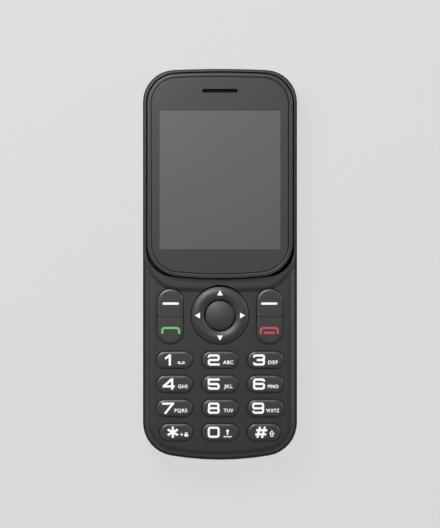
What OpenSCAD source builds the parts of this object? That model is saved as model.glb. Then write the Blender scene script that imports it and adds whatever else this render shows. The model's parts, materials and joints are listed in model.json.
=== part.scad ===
// Bar-shaped feature phone lying on its back, face up.
// +X is right seen from the front, +Y runs to the earpiece end, +Z comes out of the screen.
// The origin is the middle of the flat back. All sizes are in millimetres.

/* [Body] */
// Overall width across the side band
body_w = 54; // [48:0.5:60]
// Overall length
body_l = 137; // [123:0.5:151]
// Corner radius at the earpiece end
top_corner_r = 11.2; // [9:0.2:13]
// Corner radius at the keypad end
bottom_corner_r = 11.8; // [10:0.2:14]
// Radius of the slight bow of the earpiece end
top_bow_r = 355; // [200:5:500]
// Radius of the bow of the keypad end
bottom_bow_r = 101; // [80:1:200]

/* [Shells] */
// Wall of the back cover
cover_wall = 1.2; // [1:0.1:1.5]
// Height of the back cover's rim above its flat back
cover_h = 3.8; // [3.6:0.1:4.2]
// Width of the rolled edge round the back
back_roll = 4.2; // [3.6:0.1:5]
// Back wall of the rear housing
rear_wall = 1; // [0.8:0.1:1.2]
// Rise of the housings' parting line above the board's underside
split_rise = 0.8; // [0.6:0.1:1]
// Step in from the side band to the front housing
front_step = 0.25; // [0.15:0.05:0.4]
// Side wall of the front housing
front_wall = 1.3; // [1.1:0.1:1.6]
// Thickness of the keypad face
face_wall = 1.1; // [0.9:0.1:1.4]
// Radius of the rolled edge round the front
front_roll = 3.4; // [2.8:0.1:3.8]
// Thickness of the locating lip on the rear housing
lip_t = 0.6; // [0.5:0.1:0.8]
// Height of the locating lip
lip_h = 0.7; // [0.4:0.1:0.9]

/* [Window] */
// Earpiece end to the top of the screen
screen_drop = 14.3; // [14:0.1:15]
// Side band to the window's edge
lens_side = 3; // [2.8:0.1:3.6]
// Window's edge to the side of the visible screen
screen_side = 2.9; // [2.4:0.1:4]
// Earpiece end to the window's top edge
lens_head = 2.9; // [2.6:0.1:3.4]
// Bottom of the screen to the window's bottom edge
lens_chin = 8.7; // [8:0.1:9]
// Corner radius at the window's top
lens_top_r = 9; // [7:0.2:11]
// Corner radius at the window's bottom
lens_bottom_r = 10; // [8:0.2:12]
// Radius of the window's bowed top edge
lens_top_bow_r = 300; // [200:5:400]
// Radius of the window's bowed bottom edge
lens_bottom_bow_r = 140; // [110:5:250]
// Thickness of the window
lens_t = 1.2; // [1:0.1:1.4]
// Depth of the window's face below the top of its rim
lens_recess = 0.3; // [0.1:0.05:0.4]
// Width of the raised rim round the window
rim_w = 1.45; // [1.2:0.05:1.6]
// Width of the groove at the rim's foot
rim_groove_w = 0.6; // [0.4:0.05:0.7]
// Depth of that groove below the apron's top
rim_groove_h = 0.7; // [0.4:0.05:0.9]
// Rise of the rim above the apron
rim_rise = 0.4; // [0.3:0.05:0.6]
// Width of the apron between the rim and the keypad face
apron_w = 4.4; // [3.6:0.1:4.8]
// Rise of the apron above the keypad face
apron_rise = 0.65; // [0.5:0.05:0.8]
// Length of the earpiece slot
slot_w = 12.2; // [10:0.2:14]
// Height of the earpiece slot
slot_h = 1.2; // [1:0.1:1.6]
// Earpiece end to the middle of the slot
slot_drop = 7.6; // [7:0.1:8]

/* [Keys] */
// Side band to the outer digit keys
key_side = 4.75; // [4.6:0.05:6]
// Gap between the key columns
column_gap = 3.35; // [2.4:0.05:4.5]
// Height of a digit key
key_h = 6; // [5.2:0.1:6.6]
// Spacing of the key rows
key_pitch_y = 8.43; // [8:0.01:8.6]
// Length taken off the outer end of the star and hash keys
corner_trim = 1.2; // [0.8:0.1:2]
// Rise of the keys above the keypad face
key_rise = 0.7; // [0.5:0.05:1]
// Width of the rounded edge of a key's top
key_edge = 1.1; // [0.7:0.1:1.4]
// Drop of the rounded edge of a key's top
key_edge_h = 0.55; // [0.3:0.05:0.7]
// Width of the flange that holds a key in
key_flange = 0.5; // [0.4:0.05:0.6]
// Thickness of that flange
key_flange_t = 0.8; // [0.6:0.1:1]
// Side band to the soft and call key pills
pill_side = 5.05; // [4.8:0.05:6.5]
// Gap between a pill and the navigation ring
nav_side = 2.85; // [2:0.05:4]
// Length of a pill, both keys together
pill_l = 18.75; // [17:0.05:19]
// Slit between the two keys of a pill
pill_slit = 0.3; // [0.2:0.05:0.5]
// Outer radius of the navigation ring
nav_r = 10; // [9:0.1:10.2]
// Radius of the hole in the navigation ring
nav_hole_r = 5.6; // [5.4:0.1:6]
// Rise of the ring's crest above the keypad face
nav_rise = 1; // [0.8:0.05:1.3]
// Drop from the ring's crest to its edges
nav_crown = 0.75; // [0.4:0.05:0.9]
// Radius of the select key
select_r = 5.1; // [4.6:0.1:5.2]
// Rise of the select key's middle above the keypad face
select_rise = 0.95; // [0.7:0.05:1.2]
// Drop from the select key's middle to its edge
select_crown = 0.6; // [0.3:0.05:0.7]
// Window's bottom edge to the middle of the ring
nav_drop = 14.5; // [14.2:0.1:15]
// Middle of the ring to the first row of digits
keys_drop = 15.55; // [15:0.05:15.8]
// Middle of the ring to the middle of the pills
pill_drop = 0.4; // [0:0.1:0.6]
// Last row of digits to the keypad end
key_foot = 9.76; // [9.6:0.02:12]

/* [Inside] */
// Width of the battery
battery_w = 34; // [32:0.5:35]
// Length of the battery
battery_l = 53; // [50:0.5:54]
// Thickness of the battery
battery_t = 4.6; // [4.2:0.1:5.2]
// Thickness of the battery bay's floor
floor_t = 0.9; // [0.7:0.1:1.2]
// Thickness of the main board
board_t = 0.9; // [0.8:0.1:1.2]
// Thickness of the screen's backlight frame
backlight_t = 1.2; // [1:0.1:1.4]
// Thickness of the screen's glass
glass_t = 0.9; // [0.7:0.1:1.1]
// Height of the snap domes
dome_h = 0.3; // [0.2:0.05:0.35]
// Radius of the snap domes
dome_r = 1.9; // [1.6:0.1:2]
// Thickness of the keypad membrane's web
web_t = 0.3; // [0.25:0.05:0.5]
// Thickness of the pads under the keys
pad_t = 0.4; // [0.3:0.05:0.5]
// Board to the web of the membrane
web_gap = 1.3; // [1.1:0.1:1.6]
// Radius of the vibration motor's case
motor_r = 2; // [1.8:0.1:2.2]
// Length of the vibration motor's case
motor_l = 8; // [7:0.5:10]

/* [Fasteners and sockets] */
// Radius of a housing screw's shank
screw_r = 0.7; // [0.6:0.05:0.8]
// Radius of a housing screw's head
screw_head_r = 1.4; // [1.3:0.05:1.5]
// Radius of the headphone jack's bore
jack_r = 1.8; // [1.78:0.01:1.9]
// Length of the headphone jack's bore
jack_bore_l = 12.5; // [12:0.5:13.5]
// Middle of the phone to the headphone jack
jack_x = 13; // [11:0.5:13]
// Width of the charging socket
socket_w = 7.6; // [7.4:0.1:8]
// Height of the charging socket
socket_h = 2.7; // [2.5:0.1:2.9]
// Radius of the torch lens
torch_r = 1.4; // [1.2:0.1:1.6]
// Outer radius of the camera ring
camera_r = 3.9; // [3.6:0.1:4.4]

/* [Clearances] */
// Gap between fixed pieces that sit in one another
seat_gap = 0.15; // [0.1:0.05:0.2]
// Gap round a key in its opening
key_gap = 0.2; // [0.15:0.05:0.3]
// Gap round the battery
battery_gap = 0.2; // [0.15:0.05:0.3]
// Gap round the motor's shaft
shaft_gap = 0.05; // [0.02:0.01:0.08]
// Gap round a screw in its boss
thread_gap = 0.02; // [0.01:0.01:0.03]

/* [Hidden] */
$fn = 64;
corner_n = 8;
bow_n = 6;
tab_n = 5;
roll_n = 6;
edge_n = 4;
// Overrun of the cutting solids, and of solids that join
cut = 1;
join = 0.2;

// Heights, from the flat back up
edge_cut = 0.2;
tape_t = 0.15;
tape_in = 0.3;
ledge_t = 0.8;
film_t = 0.12;
shield_h = 1.6;
sim_h = 1.2;
rear_back = cover_wall + seat_gap;
room_z = rear_back + rear_wall;
band_z = cover_h + seat_gap;
battery_z = cover_wall + battery_gap;
floor_z = battery_z + battery_t + battery_gap;
floor_top = floor_z + floor_t;
board_z = max(floor_z + sim_h, floor_top + seat_gap);
board_top = board_z + board_t;
part_z = board_z + split_rise;
dome_top = board_top + dome_h;
web_z = board_top + web_gap;
web_top = web_z + web_t;
key_z = web_top + pad_t;
flange_top = key_z + key_flange_t;
inner_z = flange_top + key_gap;
face_z = inner_z + face_wall;
key_top = face_z + key_rise;
apron_z = face_z + apron_rise;
rim_z = apron_z + rim_rise;
lens_face = rim_z - lens_recess;
lens_z = lens_face - lens_t;
ledge_top = lens_z - tape_t;
ledge_z = ledge_top - ledge_t;
glass_z = board_top + backlight_t;
glass_top = glass_z + glass_t;
port_z = (band_z + part_z) / 2;
rim_edge = 0.5;
rim_base = face_z - 1;
apron_base = face_z - 2;
apron_foot = 0.05;

// Places along the phone
top_y = body_l / 2;
bottom_y = -body_l / 2;
screen_h = body_l - screen_drop - lens_chin - nav_drop - keys_drop - 3 * key_pitch_y - key_foot;
screen_top = top_y - screen_drop;
screen_bottom = screen_top - screen_h;
lens_bottom = screen_bottom - lens_chin;
slot_y = top_y - slot_drop;
nav_y = lens_bottom - nav_drop;
pill_y = nav_y - pill_drop;
keys_y = nav_y - keys_drop;
last_row_y = keys_y - 3 * key_pitch_y;
bay_lap = 10.2;
bay_top = screen_bottom + bay_lap;
bay_bottom = bay_top - battery_l - 2 * battery_gap;
bay_wall = 1.2;

// Widths across the phone
screen_w = body_w - 2 * lens_side - 2 * screen_side;
key_w = (body_w - 2 * key_side - 2 * column_gap) / 3;
key_pitch_x = key_w + column_gap;
pill_w = body_w / 2 - pill_side - nav_r - nav_side;
pill_x = body_w / 2 - pill_side - pill_w / 2;

// Insets from the outermost outline
lip_gap = 0.1;
front_in = front_step + front_wall;
lip_out = front_in + lip_gap;
lip_in = lip_out + lip_t;
board_in = lip_in + seat_gap;
room_wall = 1;
room_in = lip_in + room_wall;
tier_step = 0.25;

// Outlines: half width, top, bottom, top and bottom corner radius, top and bottom bow radius
body_shape = [body_w / 2, top_y, bottom_y, top_corner_r, bottom_corner_r, top_bow_r, bottom_bow_r];
lens_shape = [body_w / 2 - lens_side, top_y - lens_head, lens_bottom,
    lens_top_r, lens_bottom_r, lens_top_bow_r, lens_bottom_bow_r];
apron_in = front_step + tier_step;
apron_corner_r = 12.5;
apron_bow_r = 300;
apron_shape = [body_w / 2 - apron_in, top_y - apron_in, lens_bottom - rim_w - apron_w,
    top_corner_r - apron_in, apron_corner_r, top_bow_r - apron_in, apron_bow_r];

// Key field, the area that the flanges and the membrane fill
nav_flange = 0.6;
nav_flange_t = 0.4;
nav_seat_r = nav_hole_r + 1.3;
nav_pad_in = 0.3;
select_flange = 1.1;
select_flange_t = 0.5;
field_gap = 0.35;
field_x = max(key_pitch_x + key_w / 2, pill_x + pill_w / 2) + key_flange + field_gap;
field_y = [last_row_y - key_h / 2 - key_flange - field_gap, nav_y + nav_r + nav_flange + field_gap];
field_r = 6;

// Digit keys: name, column, row
digit_keys = [
    ["key_1", 0, 0], ["key_2", 1, 0], ["key_3", 2, 0],
    ["key_4", 0, 1], ["key_5", 1, 1], ["key_6", 2, 1],
    ["key_7", 0, 2], ["key_8", 1, 2], ["key_9", 2, 2],
    ["key_star", 0, 3], ["key_0", 1, 3], ["key_hash", 2, 3]];
// Pill keys: name, side, upper or lower half
pill_keys = [
    ["left_soft_key", -1, 1], ["right_soft_key", 1, 1],
    ["call_key", -1, -1], ["end_key", 1, -1]];

// Screws, as [x, y] on the right-hand side
boss_r = 1.6;
column_r = 2;
boss_top = inner_z + join;
screw_head_t = 0.75;
screw_sink = 0.35;
screw_seat = rear_back + screw_head_t + screw_sink;
screw_tip = ledge_z - 0.4;
screw_top_in = [6.5, 8.2];
screw_mid_in = [4.6, 0.6];
screw_key_gap = 0.55;
screw_spots = [
    [body_w / 2 - screw_top_in.x, top_y - screw_top_in.y],
    [body_w / 2 - screw_mid_in.x, lens_bottom - screw_mid_in.y],
    [key_pitch_x + key_w / 2 + screw_key_gap, keys_y - 1.5 * key_pitch_y]];

// Membrane and snap domes under the keys
web_in = 0.25;
pad_in = 0.8;
plunger_r = 1.2;
plunger_gap = 0.05;
film_side = 1.3;
film_in = [1, -0.6];
film_r = 3;
dome_crown = 0.6;
nav_dome_r = 7.8;
dome_spots = concat(
    [for (k = digit_keys) [(k[1] - 1) * key_pitch_x, keys_y - k[2] * key_pitch_y]],
    [for (k = pill_keys) [k[1] * pill_x, pill_y + k[2] * pill_l / 4]],
    [[0, nav_y]],
    [for (a = [0:90:270]) [nav_dome_r * cos(a), nav_y + nav_dome_r * sin(a)]]);

// Screen module
lcd_side = 0.4;
lcd_foot = 3.8;
lcd_head = 2.6;
lcd_x = screen_w / 2 + lcd_side;
lcd_y = [screen_bottom - lcd_foot, screen_top + lcd_head];
lcd_rim = 0.3;
lcd_sink = 0.2;
view_margin = 0.6;
view_x = screen_w / 2 + view_margin;
view_y = [screen_bottom - view_margin, screen_top + view_margin];
gasket_rim = 1.6;
gasket_lap = 0.8;
connector_w = 14;
connector_l = 2.4;
connector_y = [lens_bottom - 2.2, lens_bottom - 2.2 + connector_l];
connector_h = 0.8;
flex_w = 12;
flex_t = 0.15;

// Sound
mesh_margin = 0.7;
sound_w = slot_w - 1;
sound_h = slot_h + 1;
receiver_w = 15;
receiver_h = 6;
receiver_t = 2.2;
receiver_r = 1.5;
receiver_rim = 0.3;
receiver_pad_t = ledge_z - receiver_t - board_top - seat_gap;
speaker_at = [8, top_y - 26.5];
speaker_w = 18;
speaker_l = 13;
speaker_t = 3.2;
speaker_r = 2;
speaker_rim = 0.8;
speaker_port_in = [3, 4];
speaker_mesh_t = 0.2;
speaker_slots = 5;
speaker_slot_w = 1.1;
speaker_slot_l = 9;
speaker_pitch = 1.8;
boot_wall = 0.7;
mic_r = 1.7;
mic_l = 1.5;
mic_hole_r = 0.5;
mic_channel = 1.5;
mic_x = -11;
mic_far_x = abs(mic_x) + mic_r + boot_wall;
mic_wall_y = bottom_y + bottom_bow_r - sqrt(pow(bottom_bow_r - room_in, 2) - mic_far_x * mic_far_x);
mic_fit = 0.1;
mic_at = [mic_x, mic_wall_y + mic_fit];
mic_z = board_z - mic_r - boot_wall;

// Sockets
jack_w = 6.2;
jack_h = 2 * (board_top - port_z) - 0.05;
jack_face = top_y - board_in;
jack_end = 0.8;
jack_back = jack_face - jack_bore_l - jack_end;
jack_lead = 0.05;
socket_l = 5.6;
socket_face = bottom_y + 1.2;
socket_skin = 0.35;
socket_end = 0.8;
tongue_t = 0.6;
tongue_side = 1.3;
tongue_in = 0.6;
tongue_lift = 0.3;
torch_flange = 0.5;
torch_flange_t = 0.6;
torch_sink = 0.1;
torch_fit = 0.05;
torch_seat_y = top_y - room_in - torch_fit;
torch_notch_side = 0.3;
torch_notch_y = torch_seat_y - torch_flange_t - 0.9;
torch_led_w = 3;
torch_led_l = 1.6;
torch_led_h = 2.2;

// Camera
camera_at = [-12.5, top_y - 15.5];
camera_bore_r = 2.3;
camera_spigot_r = 3;
camera_face = 0.2;
camera_rim = 0.7;
camera_glass_r = camera_r - camera_rim;
camera_glass_t = 0.65;
camera_glass_z = camera_face + 0.1;
camera_fit = 0.05;
camera_air = 0.5;
camera_w = 7;
camera_h = 3.4;

// Vibration motor, lying across the phone
motor_at = [-17, bay_bottom - 12.2];
motor_z = (room_z + board_z) / 2;
motor_boot_in = [1, 1.5];
shaft_r = 0.4;
shaft_l = 4;
weight_gap = 0.25;
weight_l = 3.4;

// Antenna strip on the rear housing
antenna_x = [2, 19.5];
antenna_y = [bottom_y + 8, bay_bottom - bay_wall - 4];
antenna_t = 0.3;
antenna_side = 3;
antenna_arm = 4;

// Battery bay and what opens into it
bay_x = battery_w / 2 + battery_gap;
battery_r = 1.5;
sim_w = 15;
sim_l = 17;
sim_x = 8.3;
sim_drop = 11.5;
sim_spots = [[-sim_x, bay_top - sim_drop], [sim_x, bay_top - sim_drop]];
card_w = 14.5;
card_l = 15;
card_drop = 37;
card_at = [0, bay_top - card_drop];
card_slot = 0.8;
card_side = 1;
card_skin = 0.2;
contact_x = 4.6;
contact_z = battery_z + 1.8;
contact_l = 3.2;
finger_w = 1;
finger_pitch = 2.8;
finger_z = [contact_z + 0.4, contact_z + 1.6];

// Shield cans on the back of the board: middle, width and length
can_skin = 0.2;
radio_can_in = 14.2;
radio_can = [[radio_can_in - body_w / 2, bay_top + 18.5], 16.5, 20];
processor_can = [[9.5, bay_top + 12], 21, 12];

// Catches of the back cover
nub_spots = [top_y - 22, 0, bottom_y + 22];
nub_l = 5;
nub_t = 0.22;
nub_z = [cover_h - 0.8, cover_h - 0.2];
nub_gap = 0.3;
groove_t = 0.25;
notch_y = bottom_y + 18;
notch_l = 10;
notch_r = 1.8;
notch_out = 1;
notch_up = 0.4;

shell_grey = [0.17, 0.17, 0.175];
key_grey = [0.2, 0.2, 0.205];
steel = [0.7, 0.7, 0.72];
board_green = [0.1, 0.3, 0.16];
rubber_grey = [0.32, 0.32, 0.33];

function arc(c, r, a0, a1, n) =
    [for (i = [0:n]) let (a = a0 + (a1 - a0) * i / n) [c.x + r * cos(a), c.y + r * sin(a)]];

// Outline with straight sides, bowed ends and round corners, drawn in by d
function shield(s, d = 0) =
    let (top_r = s[3] - d, low_r = s[4] - d, top_bow = s[5] - d, low_bow = s[6] - d)
    let (top_x = s[0] - s[3], low_x = s[0] - s[4])
    let (top_c = s[1] - s[5], low_c = s[2] + s[6])
    let (top_y = top_c + sqrt(pow(s[5] - s[3], 2) - top_x * top_x))
    let (low_y = low_c - sqrt(pow(s[6] - s[4], 2) - low_x * low_x))
    let (top_a = acos(top_x / (s[5] - s[3])), low_a = acos(low_x / (s[6] - s[4])))
    let (top_arc = arc([0, top_c], top_bow, top_a, 180 - top_a, bow_n))
    let (low_arc = arc([0, low_c], low_bow, 180 + low_a, 360 - low_a, bow_n))
    concat(
        arc([top_x, top_y], top_r, 0, top_a, corner_n),
        [for (i = [1:bow_n - 1]) top_arc[i]],
        arc([-top_x, top_y], top_r, 180 - top_a, 180, corner_n),
        arc([-low_x, low_y], low_r, 180, 180 + low_a, corner_n),
        [for (i = [1:bow_n - 1]) low_arc[i]],
        arc([low_x, low_y], low_r, 360 - low_a, 360, corner_n));

// Rectangle over the x and y ranges, with round lower and upper corners
function tab(x, y, low_r, high_r) = concat(
    arc([x[1] - high_r, y[1] - high_r], high_r, 0, 90, tab_n),
    arc([x[0] + high_r, y[1] - high_r], high_r, 90, 180, tab_n),
    arc([x[0] + low_r, y[0] + low_r], low_r, 180, 270, tab_n),
    arc([x[1] - low_r, y[0] + low_r], low_r, 270, 360, tab_n));

function slot(c, w, h) =
    tab([c.x - w / 2, c.x + w / 2], [c.y - h / 2, c.y + h / 2], h / 2 - 0.02, h / 2 - 0.02);

// Profile points [inset, z] of a side that rolls over into a flat top
function roll_up(d, z, a, b, n) =
    [for (i = [0:n]) [d + a * (1 - cos(90 * i / n)), z + b * sin(90 * i / n)]];

// Profile points [inset, z] of a flat back that rolls up into a side
function roll_back(d, z, a, b, n) =
    [for (i = [0:n]) [d + a * (1 - sin(90 * i / n)), z + b * (1 - cos(90 * i / n))]];

// Outline of a digit key, drawn in by d
function key_outline(k, d = 0) =
    let (x = (k[1] - 1) * key_pitch_x, y = keys_y - k[2] * key_pitch_y)
    let (left = k[2] == 3 && k[1] == 0 ? corner_trim : 0, right = k[2] == 3 && k[1] == 2 ? corner_trim : 0)
    let (r = key_h / 2 - 0.1 - d)
    tab([x - key_w / 2 + left + d, x + key_w / 2 - right - d],
        [y - key_h / 2 + d, y + key_h / 2 - d], r, r);

// Outline of half a pill, drawn in by d but never over the slit
function pill_outline(k, d = 0) =
    let (x = k[1] * pill_x, slit = pill_slit / 2 + max(d, 0))
    let (near = pill_y + k[2] * slit, far = pill_y + k[2] * (pill_l / 2 - d))
    let (end_r = pill_w / 2 - 0.05 - d, slit_r = max(0.5 - d, 0.1))
    tab([x - pill_w / 2 + d, x + pill_w / 2 - d], [min(near, far), max(near, far)],
        k[2] > 0 ? slit_r : end_r, k[2] > 0 ? end_r : slit_r);

function pill_opening(side) =
    tab([side * pill_x - pill_w / 2 - key_gap, side * pill_x + pill_w / 2 + key_gap],
        [pill_y - pill_l / 2 - key_gap, pill_y + pill_l / 2 + key_gap], pill_w / 2, pill_w / 2);

function field_outline(d = 0) =
    tab([-field_x + d, field_x - d], [field_y[0] + d, field_y[1] - d], field_r - d, field_r - d);

// Profile of a key: flange, stem and rounded top edge
function key_profile() = concat(
    [[-key_flange, key_z], [-key_flange, flange_top], [0, flange_top]],
    roll_up(0, key_top - key_edge_h, key_edge, key_edge_h, edge_n));

// Solid through a stack of outlines, each [points, z], lowest first
module loft(rings) {
    n = len(rings[0][0]);
    last = (len(rings) - 1) * n;
    points = [for (ring = rings) for (p = ring[0]) [p.x, p.y, ring[1]]];
    low = [for (i = [1:n - 2]) [0, i, i + 1]];
    high = [for (i = [1:n - 2]) [last, last + i + 1, last + i]];
    sides = [for (j = [0:n:last - n], i = [0:n - 1]) let (a = j + i, b = j + (i + 1) % n)
        each [[a, a + n, b + n], [a, b + n, b]]];
    polyhedron(points, concat(low, high, sides));
}

module shell_loft(shape, profile) {
    loft([for (p = profile) [shield(shape, p[0]), p[1]]]);
}

module slab(points, z) {
    translate([0, 0, z[0]]) linear_extrude(z[1] - z[0]) polygon(points);
}

module block(x, y, z) {
    translate([x[0], y[0], z[0]]) cube([x[1] - x[0], y[1] - y[0], z[1] - z[0]]);
}

module post(at, r, z) {
    translate([at.x, at.y, z[0]]) cylinder(r = r, h = z[1] - z[0]);
}

// Cylinder along the phone, over the y range
module rod_y(x, z, r, y) {
    translate([x, y[0], z]) rotate([-90, 0, 0]) cylinder(r = r, h = y[1] - y[0]);
}

// Cylinder across the phone, over the x range
module rod_x(y, z, r, x) {
    translate([x[0], y, z]) rotate([0, 90, 0]) cylinder(r = r, h = x[1] - x[0]);
}

// Box round a middle point, grown by gap on its sides
module at_box(c, w, l, gap, z) {
    block([c.x - w / 2 - gap, c.x + w / 2 + gap], [c.y - l / 2 - gap, c.y + l / 2 + gap], z);
}

module at_screws(z = 0) {
    for (p = screw_spots, side = [-1, 1]) translate([side * p.x, p.y, z]) children();
}

// Front moulding: rolled keypad face, apron, and the rim round the window
module front_housing() {
    inner_roll = front_roll - front_wall;
    key_cut = [inner_z - cut, rim_z + cut];
    color(shell_grey) difference() {
        union() {
            difference() {
                union() {
                    shell_loft(body_shape, concat([[front_step, part_z]],
                        roll_up(front_step, face_z - front_roll, front_roll, front_roll, roll_n)));
                    shell_loft(apron_shape, concat([[0, apron_base]],
                        roll_up(0, face_z + apron_foot, apron_w, apron_rise - apron_foot, roll_n)));
                    shell_loft(lens_shape, concat([[-rim_w, rim_base]],
                        roll_up(-rim_w, rim_z - rim_edge, rim_edge, rim_edge, edge_n)));
                }
                shell_loft(body_shape, concat([[front_in, part_z - cut]],
                    roll_up(front_in, ledge_z - inner_roll, inner_roll, inner_roll, edge_n)));
                slab(field_outline(), [ledge_z - cut, inner_z]);
            }
            at_screws(board_top) cylinder(r = boss_r, h = boss_top - board_top);
        }
        difference() {
            slab(shield(lens_shape, -rim_w - rim_groove_w), [apron_z - rim_groove_h, rim_z + cut]);
            slab(shield(lens_shape, -rim_w), [apron_z - rim_groove_h - cut, rim_z + 2 * cut]);
        }
        slab(shield(lens_shape, -lip_gap), [ledge_top, rim_z + cut]);
        block([-view_x, view_x], view_y, [ledge_z - cut, lens_z]);
        slab(slot([0, slot_y], sound_w, sound_h), [ledge_z - cut, lens_z]);
        for (k = digit_keys) slab(key_outline(k, -key_gap), key_cut);
        for (side = [-1, 1]) slab(pill_opening(side), key_cut);
        post([0, nav_y], nav_r + key_gap, key_cut);
        at_screws(board_top - cut)
            cylinder(r = screw_r + thread_gap, h = screw_tip + join - board_top + cut);
    }
}

// Middle shell: the side band, the battery bay and the rooms behind the board
module rear_housing() {
    side_x = [bay_x + bay_wall, body_w / 2];
    mid_y = screw_spots[1].y;
    mid_gap = column_r + room_wall;
    deep = [room_z, floor_top + cut];
    jack_side = jack_w / 2 + seat_gap;
    socket_side = socket_w / 2 + seat_gap;
    nub_side = nub_l / 2 + nub_gap;
    color(shell_grey) difference() {
        union() {
            difference() {
                shell_loft(body_shape, concat(
                    roll_back(rear_back, rear_back, back_roll - rear_back, cover_h - rear_back, roll_n),
                    [[rear_back, band_z], [edge_cut, band_z], [0, band_z + edge_cut]],
                    [[0, part_z - edge_cut], [edge_cut, part_z]]));
                slab(shield(body_shape, lip_in), [floor_top, part_z + cut]);
                intersection() {
                    slab(shield(body_shape, room_in), deep);
                    union() {
                        block([-body_w, body_w], [bay_top + bay_wall, top_y], deep);
                        block([-body_w, body_w], [bottom_y, bay_bottom - bay_wall], deep);
                        for (side = [0, 1]) mirror([side, 0, 0]) {
                            block(side_x, [mid_y + mid_gap, bay_top], deep);
                            block(side_x, [bay_bottom, mid_y - mid_gap], deep);
                        }
                    }
                }
            }
            difference() {
                slab(shield(body_shape, lip_out), [part_z - lip_h, part_z + lip_h]);
                slab(shield(body_shape, lip_in), [part_z - lip_h - cut, part_z + lip_h + cut]);
            }
            at_screws(room_z - join) cylinder(r = column_r, h = board_z - room_z + join);
        }
        block([-bay_x, bay_x], [bay_bottom, bay_top], [-cut, floor_z]);
        block([-contact_x - seat_gap, contact_x + seat_gap], [bay_top - cut, bay_top + bay_wall + cut],
            [contact_z - seat_gap, part_z + cut]);
        for (p = sim_spots) at_box(p, sim_w, sim_l, seat_gap, [floor_z - cut, part_z]);
        at_box(card_at, card_w, card_l, seat_gap, [floor_z - cut, part_z]);
        at_screws() {
            cylinder(r = screw_r + lip_gap, h = board_z + cut);
            cylinder(r = screw_head_r + seat_gap, h = screw_seat);
        }
        post(camera_at, camera_spigot_r + lip_gap, [0, room_z + cut]);
        slab(slot(speaker_at, speaker_w - speaker_port_in.x, speaker_l - speaker_port_in.y),
            [0, room_z + cut]);
        block([jack_x - jack_side, jack_x + jack_side], [top_y - room_in - cut, jack_face + seat_gap],
            [port_z - jack_h / 2 - seat_gap, part_z + lip_h + cut]);
        rod_y(jack_x, port_z, jack_r + jack_lead, [jack_face - cut, top_y + cut]);
        block([-socket_side, socket_side], [bottom_y - cut, bottom_y + room_in + cut],
            [board_z - socket_h - seat_gap, board_z + seat_gap]);
        rod_y(mic_at.x, mic_z, mic_hole_r, [bottom_y - cut, mic_at.y + cut]);
        rod_y(0, port_z, torch_r + lip_gap, [top_y - room_in - cut, top_y + cut]);
        for (y = nub_spots, side = [0, 1]) mirror([side, 0, 0])
            block([body_w / 2 - rear_back - groove_t, body_w / 2], [y - nub_side, y + nub_side],
                [nub_z[0] - lip_gap, band_z]);
    }
}

// Removable back, a shallow tray with rolled edges
module back_cover() {
    wall_x = body_w / 2 - cover_wall;
    color(shell_grey) difference() {
        union() {
            difference() {
                shell_loft(body_shape, roll_back(0, 0, back_roll, cover_h, roll_n));
                shell_loft(body_shape, concat(
                    roll_back(cover_wall, cover_wall, back_roll - cover_wall, cover_h - cover_wall, roll_n),
                    [[cover_wall, cover_h + cut]]));
            }
            for (y = nub_spots, side = [0, 1]) mirror([side, 0, 0])
                block([wall_x - nub_t, wall_x + join], [y - nub_l / 2, y + nub_l / 2], nub_z);
        }
        post(camera_at, camera_r + seat_gap, [-cut, rear_back]);
        for (i = [0:speaker_slots - 1])
            slab(slot(speaker_at + [0, (i - (speaker_slots - 1) / 2) * speaker_pitch],
                speaker_slot_l, speaker_slot_w), [-cut, rear_back]);
        rod_y(-body_w / 2 - notch_out, cover_h + notch_up, notch_r,
            [notch_y - notch_l / 2, notch_y + notch_l / 2]);
    }
}

module display_window() {
    bevel = 0.25;
    color([0.25, 0.25, 0.26, 0.8]) difference() {
        shell_loft(lens_shape, [[0, lens_z], [0, lens_face - bevel], [bevel, lens_face]]);
        slab(slot([0, slot_y], slot_w, slot_h), [lens_z - cut, rim_z + cut]);
    }
}

module window_tape() {
    mesh = mesh_margin + seat_gap;
    through = [ledge_top - cut, lens_z + cut];
    color("black") difference() {
        slab(shield(lens_shape, tape_in), [ledge_top, lens_z]);
        block([-view_x, view_x], view_y, through);
        slab(slot([0, slot_y], slot_w + 2 * mesh, slot_h + 2 * mesh), through);
    }
}

module earpiece_mesh() {
    color("dimgray")
        slab(slot([0, slot_y], slot_w + 2 * mesh_margin, slot_h + 2 * mesh_margin), [ledge_top, lens_z]);
}

module digit_key(k) {
    color(key_grey) loft([for (p = key_profile()) [key_outline(k, p[0]), p[1]]]);
}

module pill_key(k) {
    color(key_grey) loft([for (p = key_profile()) [pill_outline(k, p[0]), p[1]]]);
}

// Rocking ring with a rounded crown, hollow below for the select key's flange
module navigation_ring() {
    crest = face_z + nav_rise;
    mid_r = (nav_r + nav_hole_r) / 2;
    half_w = (nav_r - nav_hole_r) / 2;
    crown_r = (half_w * half_w + nav_crown * nav_crown) / (2 * nav_crown);
    ceiling = flange_top + key_gap;
    color(key_grey) translate([0, nav_y, 0]) rotate_extrude() {
        translate([nav_seat_r, key_z]) square([nav_r + nav_flange - nav_seat_r, nav_flange_t]);
        translate([nav_seat_r, key_z]) square([nav_r - nav_seat_r, ceiling - key_z + join]);
        intersection() {
            translate([nav_hole_r, ceiling]) square([nav_r - nav_hole_r, crest - ceiling]);
            translate([mid_r, crest - crown_r]) circle(r = crown_r);
        }
    }
}

module navigation_pad() {
    color(rubber_grey) translate([0, nav_y, web_top]) difference() {
        cylinder(r = nav_r + nav_flange - nav_pad_in, h = pad_t);
        translate([0, 0, -cut]) cylinder(r = nav_seat_r + nav_pad_in, h = pad_t + 2 * cut);
    }
}

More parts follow.
